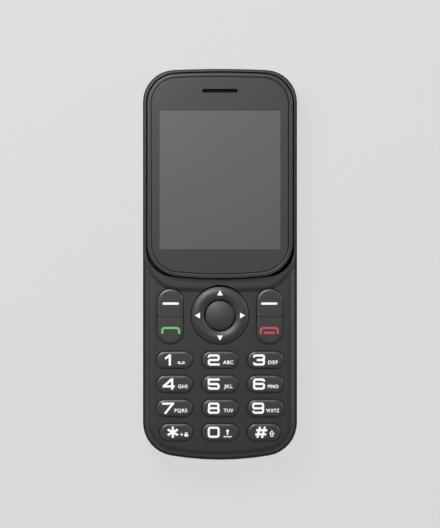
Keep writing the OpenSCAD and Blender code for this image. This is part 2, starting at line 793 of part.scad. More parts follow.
module select_key() {
    crest = face_z + select_rise;
    dome_ball = (select_r * select_r + select_crown * select_crown) / (2 * select_crown);
    color(key_grey) translate([0, nav_y, 0]) {
        translate([0, 0, key_z]) cylinder(r = select_r + select_flange, h = select_flange_t);
        intersection() {
            translate([0, 0, key_z]) cylinder(r = select_r, h = crest - key_z + cut);
            translate([0, 0, crest - dome_ball]) sphere(r = dome_ball);
        }
    }
}

// Silicone sheet with a pad under each key and a plunger over each dome
module keypad_membrane() {
    color(rubber_grey) difference() {
        union() {
            slab(field_outline(web_in), [web_z, web_top]);
            for (k = digit_keys) slab(key_outline(k, pad_in), [web_z, key_z]);
            for (k = pill_keys) slab(pill_outline(k, pad_in), [web_z, key_z]);
            post([0, nav_y], select_r - pad_in, [web_z, key_z]);
            for (p = dome_spots) post(p, plunger_r, [dome_top + plunger_gap, web_top]);
        }
        at_screws() cylinder(r = boss_r + field_gap, h = rim_z);
    }
}

module dome_film() {
    film_x = pill_x + dome_r + film_side;
    color("lightgray") difference() {
        slab(tab([-film_x, film_x], field_y + film_in, film_r, film_r), [board_top, board_top + film_t]);
        for (p = dome_spots) post(p, dome_r + seat_gap, [board_z, dome_top]);
    }
}

module snap_domes() {
    color(steel) for (p = dome_spots) translate([p.x, p.y, board_top])
        cylinder(r1 = dome_r, r2 = dome_r * dome_crown, h = dome_h);
}

module main_board() {
    jack_side = jack_w / 2 + seat_gap;
    torch_side = torch_r + torch_flange + torch_notch_side;
    through = [board_z - cut, board_top + cut];
    color(board_green) difference() {
        slab(shield(body_shape, board_in), [board_z, board_top]);
        at_screws() cylinder(r = screw_r + seat_gap, h = board_top + cut);
        block([jack_x - jack_side, jack_x + jack_side], [jack_back - seat_gap, top_y], through);
        block([-torch_side, torch_side], [torch_notch_y, top_y], through);
    }
}

// Folded metal can, open towards the board
module can(c, w, l) {
    color(steel) difference() {
        at_box(c, w, l, 0, [board_z - shield_h, board_z]);
        at_box(c, w, l, -can_skin, [board_z - shield_h + can_skin, board_z + cut]);
    }
}

module radio_shield() {
    can(radio_can[0], radio_can[1], radio_can[2]);
}

module processor_shield() {
    can(processor_can[0], processor_can[1], processor_can[2]);
}

// Card holder on the board's back, open on its low side
module card_holder(c, w, l) {
    half = w / 2 - card_side;
    z = board_z - sim_h;
    color(steel) difference() {
        at_box(c, w, l, 0, [z, board_z]);
        block([c.x - half, c.x + half], [c.y - l / 2 - cut, c.y + l / 2 - card_side],
            [z + card_skin, z + card_skin + card_slot]);
    }
}

module sim_sockets() {
    for (p = sim_spots) card_holder(p, sim_w, sim_l);
}

module card_socket() {
    card_holder(card_at, card_w, card_l);
}

module backlight_frame() {
    shrink = [lcd_rim, -lcd_rim];
    color("whitesmoke") difference() {
        block([-lcd_x, lcd_x], lcd_y, [board_top, glass_top - lcd_sink]);
        block([-lcd_x, lcd_x] + shrink, lcd_y + shrink, [glass_z, glass_top + cut]);
    }
}

module screen_glass() {
    shrink = [lcd_rim + seat_gap, -lcd_rim - seat_gap];
    color([0.4, 0.4, 0.42]) block([-lcd_x, lcd_x] + shrink, lcd_y + shrink, [glass_z, glass_top]);
}

module screen_gasket() {
    grow = [-gasket_rim, gasket_rim];
    shrink = [gasket_lap, -gasket_lap];
    color([0.1, 0.1, 0.1]) difference() {
        block([-view_x, view_x] + grow, view_y + grow, [glass_top, ledge_z]);
        block([-view_x, view_x] + shrink, view_y + shrink, [glass_z, ledge_z + cut]);
    }
}

module screen_connector() {
    color("black")
        block([-connector_w / 2, connector_w / 2], connector_y, [board_top, board_top + connector_h]);
}

module screen_flex() {
    z = board_top + connector_h;
    color("orange") block([-flex_w / 2, flex_w / 2], [connector_y[0], lcd_y[0]], [z, z + flex_t]);
}

module earpiece_receiver() {
    z = board_top + seat_gap;
    color("silver") slab(tab([-receiver_w / 2, receiver_w / 2],
        [slot_y - receiver_h / 2, slot_y + receiver_h / 2], receiver_r, receiver_r), [z, z + receiver_t]);
}

module receiver_gasket() {
    x = receiver_w / 2 - receiver_rim;
    y = receiver_h / 2 - receiver_rim;
    r = receiver_r - receiver_rim;
    z = ledge_z - receiver_pad_t;
    color("black") difference() {
        slab(tab([-x, x], [slot_y - y, slot_y + y], r, r), [z, ledge_z]);
        slab(slot([0, slot_y], sound_w, sound_h), [z - cut, ledge_z + cut]);
    }
}

module speaker_mesh() {
    color("dimgray")
        at_box(speaker_at, speaker_w, speaker_l, -speaker_rim, [room_z, room_z + speaker_mesh_t]);
}

module loudspeaker() {
    z = room_z + speaker_mesh_t;
    half = [speaker_w / 2, speaker_l / 2];
    color([0.15, 0.15, 0.15]) slab(tab([speaker_at.x - half.x, speaker_at.x + half.x],
        [speaker_at.y - half.y, speaker_at.y + half.y], speaker_r, speaker_r), [z, z + speaker_t]);
}

module motor_case() {
    x = motor_at.x;
    color("silver") difference() {
        rod_x(motor_at.y, motor_z, motor_r, [x, x + motor_l]);
        rod_x(motor_at.y, motor_z, shaft_r + shaft_gap, [x + motor_l - shaft_l, x + motor_l + cut]);
    }
}

// Off-centre weight on its shaft, hanging down
module motor_weight() {
    x = motor_at.x + motor_l + weight_gap;
    color([0.45, 0.45, 0.48]) {
        rod_x(motor_at.y, motor_z, shaft_r, [x - shaft_l, x + weight_l]);
        intersection() {
            rod_x(motor_at.y, motor_z, motor_r, [x, x + weight_l]);
            block([x - cut, x + weight_l + cut], [motor_at.y - 2 * motor_r, motor_at.y + 2 * motor_r],
                [motor_z - 2 * motor_r, motor_z + shaft_r]);
        }
    }
}

module motor_boot() {
    x = [motor_at.x + motor_boot_in[0], motor_at.x + motor_l - motor_boot_in[1]];
    y = motor_r + boot_wall;
    color(rubber_grey) difference() {
        block(x, [motor_at.y - y, motor_at.y + y], [room_z, board_z]);
        rod_x(motor_at.y, motor_z, motor_r + thread_gap, x + [-cut, cut]);
    }
}

module microphone() {
    y = mic_at.y + mic_channel;
    color("silver") rod_y(mic_at.x, mic_z, mic_r, [y, y + mic_l]);
}

module microphone_boot() {
    x = mic_r + boot_wall;
    y = [mic_at.y, mic_at.y + mic_channel + mic_l];
    color(rubber_grey) difference() {
        block([mic_at.x - x, mic_at.x + x], y, [room_z, board_z]);
        rod_y(mic_at.x, mic_z, mic_r + thread_gap, [y[0] + mic_channel, y[1] + cut]);
        rod_y(mic_at.x, mic_z, mic_hole_r, y + [-cut, 0]);
    }
}

module antenna() {
    color("goldenrod") difference() {
        block(antenna_x, antenna_y, [room_z, room_z + antenna_t]);
        block(antenna_x + [antenna_side, cut], antenna_y + [antenna_arm, -antenna_arm],
            [room_z - cut, room_z + cut]);
    }
}

module headphone_jack() {
    color("black") difference() {
        block([jack_x - jack_w / 2, jack_x + jack_w / 2], [jack_back, jack_face],
            [port_z - jack_h / 2, port_z + jack_h / 2]);
        rod_y(jack_x, port_z, jack_r, [jack_face - jack_bore_l, jack_face + cut]);
    }
}

// Metal shell with a contact tongue in its mouth
module charging_socket() {
    z = [board_z - socket_h, board_z];
    y = [socket_face, socket_face + socket_l];
    mouth = [-socket_w / 2 + socket_skin, socket_w / 2 - socket_skin];
    mid_z = (z[0] + z[1]) / 2 + tongue_lift;
    color(steel) {
        difference() {
            block([-socket_w / 2, socket_w / 2], y, z);
            block(mouth, y + [-cut, -socket_end], z + [socket_skin, -socket_skin]);
        }
        block(mouth + [tongue_side, -tongue_side], y + [tongue_in, -socket_end / 2],
            [mid_z - tongue_t / 2, mid_z + tongue_t / 2]);
    }
}

module torch_lens() {
    color([0.9, 0.9, 0.95]) {
        rod_y(0, port_z, torch_r, [torch_seat_y, top_y - torch_sink]);
        rod_y(0, port_z, torch_r + torch_flange, [torch_seat_y - torch_flange_t, torch_seat_y]);
    }
}

module torch_led() {
    color("lightyellow") block([-torch_led_w / 2, torch_led_w / 2],
        [torch_notch_y - torch_led_l, torch_notch_y], [board_z - torch_led_h, board_z]);
}

module camera_module() {
    color("black") {
        at_box(camera_at, camera_w, camera_w, 0, [room_z, room_z + camera_h]);
        post(camera_at, camera_bore_r - seat_gap, [camera_glass_z + camera_glass_t + camera_air, room_z]);
    }
}

module camera_ring() {
    seat_z = camera_glass_z + camera_glass_t;
    seat_r = camera_glass_r + camera_fit;
    color("silver") translate([camera_at.x, camera_at.y, 0]) rotate_extrude() polygon([
        [camera_bore_r, seat_z], [seat_r, seat_z], [seat_r, camera_face], [camera_r, camera_face],
        [camera_r, rear_back], [camera_spigot_r, rear_back], [camera_spigot_r, room_z],
        [camera_bore_r, room_z]]);
}

module camera_window() {
    color([0.1, 0.1, 0.12])
        post(camera_at, camera_glass_r, [camera_glass_z, camera_glass_z + camera_glass_t]);
}

module battery() {
    y = [bay_bottom + battery_gap, bay_top - battery_gap];
    color("gainsboro") slab(tab([-battery_w / 2, battery_w / 2], y, battery_r, battery_r),
        [battery_z, battery_z + battery_t]);
}

// Block on the board with three spring fingers that reach the battery's end
module battery_contacts() {
    y = bay_top + seat_gap;
    color("gold") {
        block([-contact_x, contact_x], [y, y + contact_l], [contact_z, board_z]);
        for (i = [-1:1]) block([i * finger_pitch - finger_w / 2, i * finger_pitch + finger_w / 2],
            [bay_top - battery_gap / 2, y + join], finger_z);
    }
}

module housing_screws() {
    color(steel) at_screws() {
        translate([0, 0, screw_seat - screw_head_t]) cylinder(r = screw_head_r, h = screw_head_t);
        translate([0, 0, screw_seat - join]) cylinder(r = screw_r, h = screw_tip - screw_seat + join);
    }
}

front_housing();
rear_housing();
back_cover();
display_window();
window_tape();
earpiece_mesh();
for (k = digit_keys) digit_key(k);
for (k = pill_keys) pill_key(k);
navigation_ring();
navigation_pad();
select_key();
keypad_membrane();
dome_film();
snap_domes();
main_board();
radio_shield();
processor_shield();
sim_sockets();
card_socket();
screen_glass();
backlight_frame();
screen_flex();
screen_connector();
screen_gasket();
earpiece_receiver();
receiver_gasket();
loudspeaker();
speaker_mesh();
motor_case();
motor_weight();
motor_boot();
microphone();
microphone_boot();
antenna();
headphone_jack();
charging_socket();
torch_lens();
torch_led();
camera_module();
camera_ring();
camera_window();
battery();
battery_contacts();
housing_screws();
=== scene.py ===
import json
import math

import bmesh
import bpy
from mathutils import Matrix, Vector


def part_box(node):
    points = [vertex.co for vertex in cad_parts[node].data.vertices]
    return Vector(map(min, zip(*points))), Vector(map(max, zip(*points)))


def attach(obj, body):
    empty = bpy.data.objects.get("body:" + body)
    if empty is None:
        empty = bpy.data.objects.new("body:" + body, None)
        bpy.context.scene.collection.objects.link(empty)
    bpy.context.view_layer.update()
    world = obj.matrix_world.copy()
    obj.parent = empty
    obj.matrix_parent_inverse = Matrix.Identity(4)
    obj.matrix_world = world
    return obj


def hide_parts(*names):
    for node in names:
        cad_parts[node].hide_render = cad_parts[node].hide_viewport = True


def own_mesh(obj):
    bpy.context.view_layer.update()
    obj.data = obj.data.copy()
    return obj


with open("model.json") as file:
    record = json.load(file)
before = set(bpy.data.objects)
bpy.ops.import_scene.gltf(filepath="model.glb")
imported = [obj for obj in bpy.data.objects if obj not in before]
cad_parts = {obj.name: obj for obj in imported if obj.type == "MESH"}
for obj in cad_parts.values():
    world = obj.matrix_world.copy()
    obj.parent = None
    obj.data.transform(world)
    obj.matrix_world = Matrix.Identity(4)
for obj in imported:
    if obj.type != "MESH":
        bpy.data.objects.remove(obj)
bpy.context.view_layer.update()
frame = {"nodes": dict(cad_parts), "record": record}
mm = 0.001
print("frame loaded,", len(frame["nodes"]), "nodes")


def boxOf(node):
    low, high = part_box(node)
    return low / mm, high / mm


def middle(node):
    low, high = boxOf(node)
    return (low + high) / 2


# outlines, all in millimetres and anticlockwise seen from the front

def arcPoints(cx, cy, r, a0, a1, steps):
    turn = [math.radians(a0 + (a1 - a0) * i / steps) for i in range(steps + 1)]
    return [(cx + r * math.cos(a), cy + r * math.sin(a)) for a in turn]


def dropDoubles(points):
    kept = []
    for p in points:
        if not kept or math.dist(p, kept[-1]) > 1e-5:
            kept.append(p)
    if math.dist(kept[0], kept[-1]) < 1e-5:
        kept.pop()
    return kept


def shieldOutline(shape, inset=0.0, cornerSteps=24, bowSteps=28):
    topX = shape["half"] - shape["topCorner"]
    lowX = shape["half"] - shape["lowCorner"]
    topC = shape["top"] - shape["topBow"]
    lowC = shape["low"] + shape["lowBow"]
    topR = shape["topBow"] - shape["topCorner"]
    lowR = shape["lowBow"] - shape["lowCorner"]
    topY = topC + math.sqrt(topR ** 2 - topX ** 2)
    lowY = lowC - math.sqrt(lowR ** 2 - lowX ** 2)
    topA = math.degrees(math.acos(topX / topR))
    lowA = math.degrees(math.acos(lowX / lowR))
    topCorner = shape["topCorner"] - inset
    lowCorner = shape["lowCorner"] - inset
    points = arcPoints(0, lowC, shape["lowBow"] - inset, lowA - 180, -lowA, bowSteps)
    points += arcPoints(lowX, lowY, lowCorner, -lowA, 0, cornerSteps)
    points += arcPoints(topX, topY, topCorner, 0, topA, cornerSteps)
    points += arcPoints(0, topC, shape["topBow"] - inset, topA, 180 - topA, bowSteps)
    points += arcPoints(-topX, topY, topCorner, 180 - topA, 180, cornerSteps)
    points += arcPoints(-lowX, lowY, lowCorner, 180, 180 + lowA, cornerSteps)
    return dropDoubles(points)


def tabOutline(x0, x1, y0, y1, lowR, topR, steps=14):
    points = arcPoints(x1 - topR, y1 - topR, topR, 0, 90, steps)
    points += arcPoints(x0 + topR, y1 - topR, topR, 90, 180, steps)
    points += arcPoints(x0 + lowR, y0 + lowR, lowR, 180, 270, steps)
    points += arcPoints(x1 - lowR, y0 + lowR, lowR, 270, 360, steps)
    return points


def circleOutline(cx, cy, r, steps=144):
    return arcPoints(cx, cy, r, 0, 360, steps)[:-1]


def rollUp(inset, z, wide, tall, steps):
    turn = [math.radians(90 * i / steps) for i in range(steps + 1)]
    return [(inset + wide * (1 - math.cos(a)), z + tall * math.sin(a)) for a in turn]


def rollBack(inset, z, wide, tall, steps):
    turn = [math.radians(90 * i / steps) for i in range(steps + 1)]
    return [(inset + wide * (1 - math.sin(a)), z + tall * (1 - math.cos(a))) for a in turn]


# mesh helpers

def addToScene(name, data):
    obj = bpy.data.objects.new(name, data)
    bpy.context.scene.collection.objects.link(obj)
    return obj


def addObject(name, bm):
    mesh = bpy.data.meshes.new(name)
    bm.to_mesh(mesh)
    bm.free()
    return addToScene(name, mesh)


def ringVerts(bm, points, z):
    heights = z if isinstance(z, list) else [z] * len(points)
    return [bm.verts.new((x * mm, y * mm, h * mm)) for (x, y), h in zip(points, heights)]


def skin(bm, lower, upper):
    count = len(lower)
    for i in range(count):
        j = (i + 1) % count
        bm.faces.new((lower[i], lower[j], upper[j], upper[i]))


def loft(name, rings):
    bm = bmesh.new()
    rows = [ringVerts(bm, points, z) for points, z in rings]
    for lower, upper in zip(rows, rows[1:]):
        skin(bm, lower, upper)
    bm.faces.new(rows[0][::-1])
    bm.faces.new(rows[-1])
    return addObject(name, bm)


def prism(name, outline, *heights):
    return loft(name, [(outline, z) for z in heights])


def shapeLoft(name, outline, profile):
    return loft(name, [(outline(d), z) for d, z in profile])


def lathe(name, centre, profile, steps=144):
    # profile runs anticlockwise in (radius, height), a radius of 0 closes on the axis
    bm = bmesh.new()
    rows = []
    for r, z in profile:
        if r < 1e-6:
            rows.append([bm.verts.new((centre[0] * mm, centre[1] * mm, z * mm))])
        else:
            rows.append(ringVerts(bm, circleOutline(centre[0], centre[1], r, steps), z))
    closed = len(rows[0]) > 1 and len(rows[-1]) > 1
    pairs = list(zip(rows, rows[1:])) + ([(rows[-1], rows[0])] if closed else [])
    for a, b in pairs:
        for i in range(steps):
            j = (i + 1) % steps
            if len(a) == 1:
                bm.faces.new((a[0], b[j], b[i]))
            elif len(b) == 1:
                bm.faces.new((a[i], a[j], b[0]))
            else:
                bm.faces.new((a[i], a[j], b[j], b[i]))
    bmesh.ops.recalc_face_normals(bm, faces=bm.faces)
    return addObject(name, bm)


def bakedMesh(obj):
    graph = bpy.context.evaluated_depsgraph_get()
    return bpy.data.meshes.new_from_object(obj.evaluated_get(graph))


def carve(target, tool, operation="DIFFERENCE"):
    mod = target.modifiers.new("carve", "BOOLEAN")
    mod.operation = operation
    mod.solver = "EXACT"
    mod.object = tool
    made = bakedMesh(target)
    target.modifiers.remove(mod)
    target.data = made
    bpy.data.objects.remove(tool)


weldGap = 0.002


def weld(obj):
    # clears the slivers that cutting leaves
    bm = bmesh.new()
    bm.from_mesh(obj.data)
    bmesh.ops.remove_doubles(bm, verts=bm.verts, dist=weldGap * mm)
    bmesh.ops.dissolve_degenerate(bm, edges=bm.edges, dist=weldGap / 2 * mm)
    bm.to_mesh(obj.data)
    bm.free()


alongX, alongY = (1, 0, 0), (0, 1, 0)


def cutLines(obj, cuts):
    # splits the faces along straight lines, so that each side can take its own finish
    bm = bmesh.new()
    bm.from_mesh(obj.data)
    for across, at in cuts:
        normal = Vector(across)
        geom = bm.verts[:] + bm.edges[:] + bm.faces[:]
        bmesh.ops.bisect_plane(bm, geom=geom, plane_co=normal * at * mm, plane_no=normal, dist=1e-7)
    bm.to_mesh(obj.data)
    bm.free()


def merge(objects, name="merged"):
    bm = bmesh.new()
    for obj in objects:
        bm.from_mesh(obj.data)
        bpy.data.objects.remove(obj)
    return addObject(name, bm)


def smooth(obj, angle=32):
    obj.data.polygons.foreach_set("use_smooth", [True] * len(obj.data.polygons))
    obj.data.set_sharp_from_angle(angle=math.radians(angle))
    weigh = obj.modifiers.new("weigh", "WEIGHTED_NORMAL")
    weigh.keep_sharp = True
    weigh.weight = 80


def softenNode(obj, angle=28):
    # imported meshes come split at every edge, so they are welded and split again by angle
    if "custom_normal" in obj.data.attributes:
        obj.data.attributes.remove(obj.data.attributes["custom_normal"])
    obj.data.polygons.foreach_set("use_smooth", [True] * len(obj.data.polygons))
    join = obj.modifiers.new("join", "WELD")
    join.merge_threshold = weldGap * mm
    split = obj.modifiers.new("split", "EDGE_SPLIT")
    split.split_angle = math.radians(angle)
    split.use_edge_sharp = False
    weigh = obj.modifiers.new("weigh", "WEIGHTED_NORMAL")
    weigh.weight = 80


def fit(obj, look, body, slot, *nodes):
    obj.data.materials.clear()
    obj.data.materials.append(finish[look])
    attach(obj, body)
    if nodes:
        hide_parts(*nodes)


def paint(obj, names, pick):
    # further finishes, and the number of the one that each face takes
    for name in names:
        obj.data.materials.append(finish[name])
    for face in obj.data.polygons:
        face.material_index = pick(*(face.center / mm))


# finishes

def dial(tree, node, values):
    # another node's output is linked, anything else is set
    for name, value in values.items():
        if isinstance(value, bpy.types.NodeSocket):
            tree.links.new(value, node.inputs[name])
        else:
            node.inputs[name].default_value = value


def addNode(tree, kind, values=None):
    node = tree.nodes.new("ShaderNode" + kind)
    dial(tree, node, values or {})
    return node


def newFinish(name):
    mat = bpy.data.materials.new(name)
    mat.use_nodes = True
    return mat, mat.node_tree, mat.node_tree.nodes["Principled BSDF"]


def objectPlace(tree):
    return addNode(tree, "TexCoord").outputs["Object"]


def noise(tree, scale, detail=4.0, stretch=None):
    place = objectPlace(tree)
    if stretch:
        place = addNode(tree, "Mapping", {"Vector": place, "Scale": stretch}).outputs["Vector"]
    return addNode(tree, "TexNoise", {"Vector": place, "Scale": scale, "Detail": detail}).outputs["Fac"]


def ramp(tree, source, low, high, start=0.3, end=0.7):
    mix = addNode(tree, "ValToRGB", {"Fac": source})
    for stop, at, colour in zip(mix.color_ramp.elements, (start, end), (low, high)):
        stop.position = at
        stop.color = (*colour, 1)
    return mix.outputs["Color"]


def spread(tree, source, low, high):
    values = {"Value": source, "From Min": 0.3, "From Max": 0.7, "To Min": low, "To Max": high}
    return addNode(tree, "MapRange", values).outputs["Result"]


def bump(tree, source, depth, strength=1.0):
    values = {"Height": source, "Strength": strength, "Distance": depth * mm}
    return addNode(tree, "Bump", values).outputs["Normal"]


def mixShaders(tree, share, first, second):
    return addNode(tree, "MixShader", {"Fac": share, 1: first, 2: second}).outputs["Shader"]


def mouldedFinish(name, spec):
    # slow clouds in the colour, fine grain in the gloss and the bump
    mat, tree, shader = newFinish(name)
    cloud = noise(tree, spec.get("cloud", 90), 3)
    grain = noise(tree, spec.get("grain", 5200), 2, spec.get("stretch"))
    base, vary = spec["base"], spec.get("vary", 0.08)
    low, high = [c * (1 - vary) for c in base], [c * (1 + vary) for c in base]
    rough, mottle = spec["rough"], spec.get("mottle", 0.04)
    dial(tree, shader, {
        "Base Color": ramp(tree, cloud, low, high),
        "Roughness": spread(tree, grain, rough - mottle, rough + mottle),
        "Normal": bump(tree, grain, spec.get("depth", 0.012), spec.get("relief", 0.5)),
        "Metallic": spec.get("metal", 0.0), "IOR": spec.get("ior", 1.5),
        "Coat Weight": spec.get("coat", 0.0), "Coat Roughness": spec.get("coatRough", 0.03),
        "Sheen Weight": spec.get("sheen", 0.0), "Transmission Weight": spec.get("clear", 0.0)})
    return mat


def boardFinish(name, spec):
    # solder mask with faint copper runs under it
    mat, tree, shader = newFinish(name)
    runs = addNode(tree, "TexBrick", {
        "Vector": objectPlace(tree), "Scale": spec["runs"], "Mortar Size": 0.035,
        "Color1": (*spec["mask"], 1), "Color2": (*spec["maskDark"], 1), "Mortar": (*spec["copper"], 1)})
    dial(tree, shader, {"Base Color": runs.outputs["Color"], "Roughness": 0.35,
                        "Normal": bump(tree, runs.outputs["Fac"], 0.02, 0.4)})
    return mat


def meshFinish(name, spec):
    # woven acoustic mesh, seen as fine dark dots
    mat, tree, shader = newFinish(name)
    dots = addNode(tree, "TexVoronoi", {
        "Vector": objectPlace(tree), "Scale": spec["pitch"], "Randomness": 0.0})
    near = dots.outputs["Distance"]
    dial(tree, shader, {"Base Color": ramp(tree, near, spec["hole"], spec["wire"], 0.2, 0.45),
                        "Normal": bump(tree, near, 0.03), "Roughness": 0.7, "Specular IOR Level": 0.08})
    return mat


def panelFinish(name, spec):
    # unlit panel: a fine column grid under gloss
    mat, tree, shader = newFinish(name)
    base = spec["base"]
    grid = addNode(tree, "TexBrick", {
        "Vector": objectPlace(tree), "Scale": spec["pitch"],
        "Brick Width": 0.5, "Row Height": 0.5, "Mortar Size": 0.03, "Color1": (*base, 1),
        "Color2": (*[c * 1.04 for c in base], 1), "Mortar": (*[c * 0.9 for c in base], 1)})
    grid.offset = 0.0
    smudge = noise(tree, 25, 2)
    dial(tree, shader, {"Base Color": grid.outputs["Color"], "Roughness": spread(tree, smudge, 0.27, 0.31),
                        "Coat Weight": spec["coat"], "Coat Roughness": spec["coatRough"]})
    return mat


finishes = {
    "shell": {"base": (0.022, 0.022, 0.0225), "rough": 0.43, "vary": 0.05},
    "band": {"base": (0.012, 0.012, 0.0125), "rough": 0.36, "vary": 0.06, "relief": 0.2, "ior": 1.4},
    "cover": {"base": (0.036, 0.036, 0.037), "rough": 0.46, "grain": 3400, "depth": 0.02},
    "key": {"base": (0.034, 0.034, 0.0345), "rough": 0.36, "vary": 0.05, "depth": 0.006, "relief": 0.3},
    "border": {"base": (0.034, 0.034, 0.0345), "rough": 0.30, "vary": 0.03, "relief": 0.0, "mottle": 0.01,
               "coat": 0.4, "coatRough": 0.14},
    "ring": {"base": (0.026, 0.026, 0.0265), "rough": 0.47, "vary": 0.05, "depth": 0.006, "relief": 0.3},
    "dome": {"base": (0.030, 0.030, 0.0305), "rough": 0.54, "vary": 0.05, "depth": 0.006, "relief": 0.3},
    "white_plastic": {"base": (0.78, 0.78, 0.76), "rough": 0.45},
    "black_plastic": {"base": (0.018, 0.018, 0.019), "rough": 0.48},
    "black_foam": {"base": (0.016, 0.016, 0.016), "rough": 0.9, "grain": 2600, "depth": 0.05, "relief": 0.9},
    "silicone": {"base": (0.30, 0.31, 0.32), "rough": 0.55, "sheen": 0.2},
    "film": {"base": (0.62, 0.60, 0.52), "rough": 0.32, "relief": 0.15},
    "flex": {"base": (0.42, 0.20, 0.05), "rough": 0.33, "stretch": (1, 0.05, 1)},
    "steel": {"base": (0.62, 0.62, 0.62), "rough": 0.30, "metal": 1.0, "relief": 0.25,
              "stretch": (0.06, 1, 1)},
    "metal_trim": {"base": (0.34, 0.34, 0.35), "rough": 0.24, "metal": 1.0, "relief": 0.15},
    "clear": {"base": (0.92, 0.94, 0.96), "rough": 0.09, "clear": 0.85, "relief": 0.03, "vary": 0.02},
    "lensGlass": {"base": (0.006, 0.006, 0.007), "rough": 0.12, "vary": 0.05, "relief": 0.0, "coat": 1.0},
    "lensEye": {"base": (0.012, 0.016, 0.045), "rough": 0.08, "vary": 0.2, "relief": 0.0, "coat": 1.0},
    "torchClear": {"base": (0.62, 0.63, 0.62), "rough": 0.14, "vary": 0.04, "relief": 0.1, "coat": 0.8},
    "lamp": {"base": (0.86, 0.80, 0.42), "rough": 0.35},
    "battery_can": {"base": (0.115, 0.118, 0.125), "rough": 0.38, "cloud": 40, "grain": 2400},
    "contacts": {"base": (0.83, 0.60, 0.24), "rough": 0.24, "metal": 1.0, "relief": 0.2},
    "legendWhite": {"base": (0.90, 0.90, 0.90), "rough": 0.5, "vary": 0.02, "relief": 0.15},
    "legendGreen": {"base": (0.13, 0.44, 0.15), "rough": 0.5, "vary": 0.04, "relief": 0.15},
    "legendRed": {"base": (0.48, 0.055, 0.06), "rough": 0.5, "vary": 0.04, "relief": 0.15},
}
finish = {name: mouldedFinish(name, spec) for name, spec in finishes.items()}
boardLook = {"runs": 260, "mask": (0.02, 0.10, 0.045), "maskDark": (0.018, 0.085, 0.04),
             "copper": (0.05, 0.19, 0.08)}
meshLook = {"pitch": 2600, "hole": (0.001, 0.001, 0.001), "wire": (0.006, 0.006, 0.006)}
panelLook = {"pitch": 6000, "base": (0.079, 0.079, 0.080), "coat": 0.4, "coatRough": 0.14}
finish["board"] = boardFinish("board", boardLook)
finish["mesh"] = meshFinish("mesh", meshLook)
finish["panel"] = panelFinish("panel", panelLook)
print("finishes ready,", len(finish))


# moulded front

bodyLow, bodyHigh = boxOf("rear_housing")
frontHigh = boxOf("front_housing")[1]
lensLow, lensHigh = boxOf("display_window")
keyHigh = boxOf("key_5")[1]

bodyShape = {"half": bodyHigh.x, "top": bodyHigh.y, "low": bodyLow.y,
             "topCorner": 11.2, "lowCorner": 11.8, "topBow": 355, "lowBow": 101}
lensShape = {"half": lensHigh.x, "top": lensHigh.y, "low": lensLow.y,
             "topCorner": 9, "lowCorner": 10, "topBow": 300, "lowBow": 140}
apronShape = {"half": bodyHigh.x - 0.5, "top": bodyHigh.y - 0.5, "low": lensLow.y - 5.85,
              "topCorner": 10.7, "lowCorner": 12.5, "topBow": 354.5, "lowBow": 300}

front = {
    "part": 8.2,            # where it meets the side band
    "step": 0.25,           # set in from the band
    "roll": 3.4,            # rolled edge of the face
    "wall": 1.3,
    "face": frontHigh.z - 1.05,
    "ledge": (11.0, 11.8),  # shelf the window lies on
    "inner": 11.3,          # underside of the face over the keys
    "apronRise": 0.60, "apronFoot": 2.3,    # height, and width of its slope
    "apronSpread": 1.1,     # how far the slope runs out towards the keys
    "apronTurn": 0.35,      # it fades out where the edge turns to the sides
    "apronEdge": 0.15,      # its rounded top edge along the sides
    "apronDeep": 2.6,       # how far its foot goes down into the face
    "cove": 0.38, "coveWide": 1.7,          # sweep up to the rim
    "rimWide": 1.45, "rimEdge": 0.5, "rimLip": 0.35,
    "lensGap": 0.1,         # round the window
    "grooveWide": 0.5, "grooveFloor": 11.45,    # groove at the rim's foot, dark from its depth and from painted shade on its floor
    "grooveCorner": 2.4,    # its low corners are tighter, so it is wider there
    "fieldRoom": (0.3, 0.9),                # hollow under the face, past the keys and past the ring
    "gap": 0.18,            # round the keys
    "ringGap": 0.2,         # round the rocking ring
    "ringRoom": 0.42,       # added to that gap where the ring cuts into the apron
    "lip": 0.12,            # rounded mouth of each key opening
}

navCentre = (0, middle("navigation_ring").y)
ringR = 10.0
flange = 0.5
pillReach = (0.15, 0.4)     # pill caps run over their flanges at the low and top end
digitFlat, pillFlat = 0.1, 0.05     # short straight at their round ends
keySlit = {"gap": 0.14, "edge": 0.3, "start": 0.95, "corner": (0.5, 0.1)}   # between the two halves of a pill
digitNames = ["key_1", "key_2", "key_3", "key_4", "key_5", "key_6", "key_7", "key_8", "key_9",
              "key_star", "key_0", "key_hash"]
pillNames = ["left_soft_key", "call_key", "right_soft_key", "end_key"]


def digitOutline(node, inset=0.0):
    low, high = boxOf(node)
    r = (high.y - low.y) / 2 - flange - digitFlat - inset
    d = flange + inset
    return tabOutline(low.x + d, high.x - d, low.y + d, high.y - d, r, r)


def pillOutline(node, inset=0.0):
    low, high = boxOf(node)
    d = flange + inset
    reach = (boxOf(pillNames[0])[0].y - boxOf(pillNames[1])[1].y - keySlit["gap"]) / 2
    near = keySlit["edge"] * max(inset - keySlit["start"], 0) - reach     # the two halves meet nearly square
    endR = (high.x - low.x) / 2 - flange - pillFlat - inset
    corner, least = keySlit["corner"]
    slitR = max(corner - inset, least)
    if node.endswith("soft_key"):
        return tabOutline(low.x + d, high.x - d, low.y + near, high.y - d + pillReach[1], slitR, endR)
    return tabOutline(low.x + d, high.x - d, low.y + d - pillReach[0], high.y - near, endR, slitR)


def pillMouth(upper, lower, inset=0.0):
    low, high = boxOf(lower)[0], boxOf(upper)[1]
    d = flange + inset
    r = (high.x - low.x) / 2 - d - pillFlat
    return tabOutline(low.x + d, high.x - d, low.y + d - pillReach[0], high.y - d + pillReach[1], r, r)


def mouthProfile(gap, lip, floor, face, top):
    turn = [math.radians(16 * i) for i in range(1, 6)]
    lipArc = [(-gap - lip + lip * math.cos(a), face - lip + lip * math.sin(a)) for a in turn]
    return [(-gap, floor), (-gap, face - lip)] + lipArc + [(-gap - lip, face + 0.03), (-gap - lip, top)]


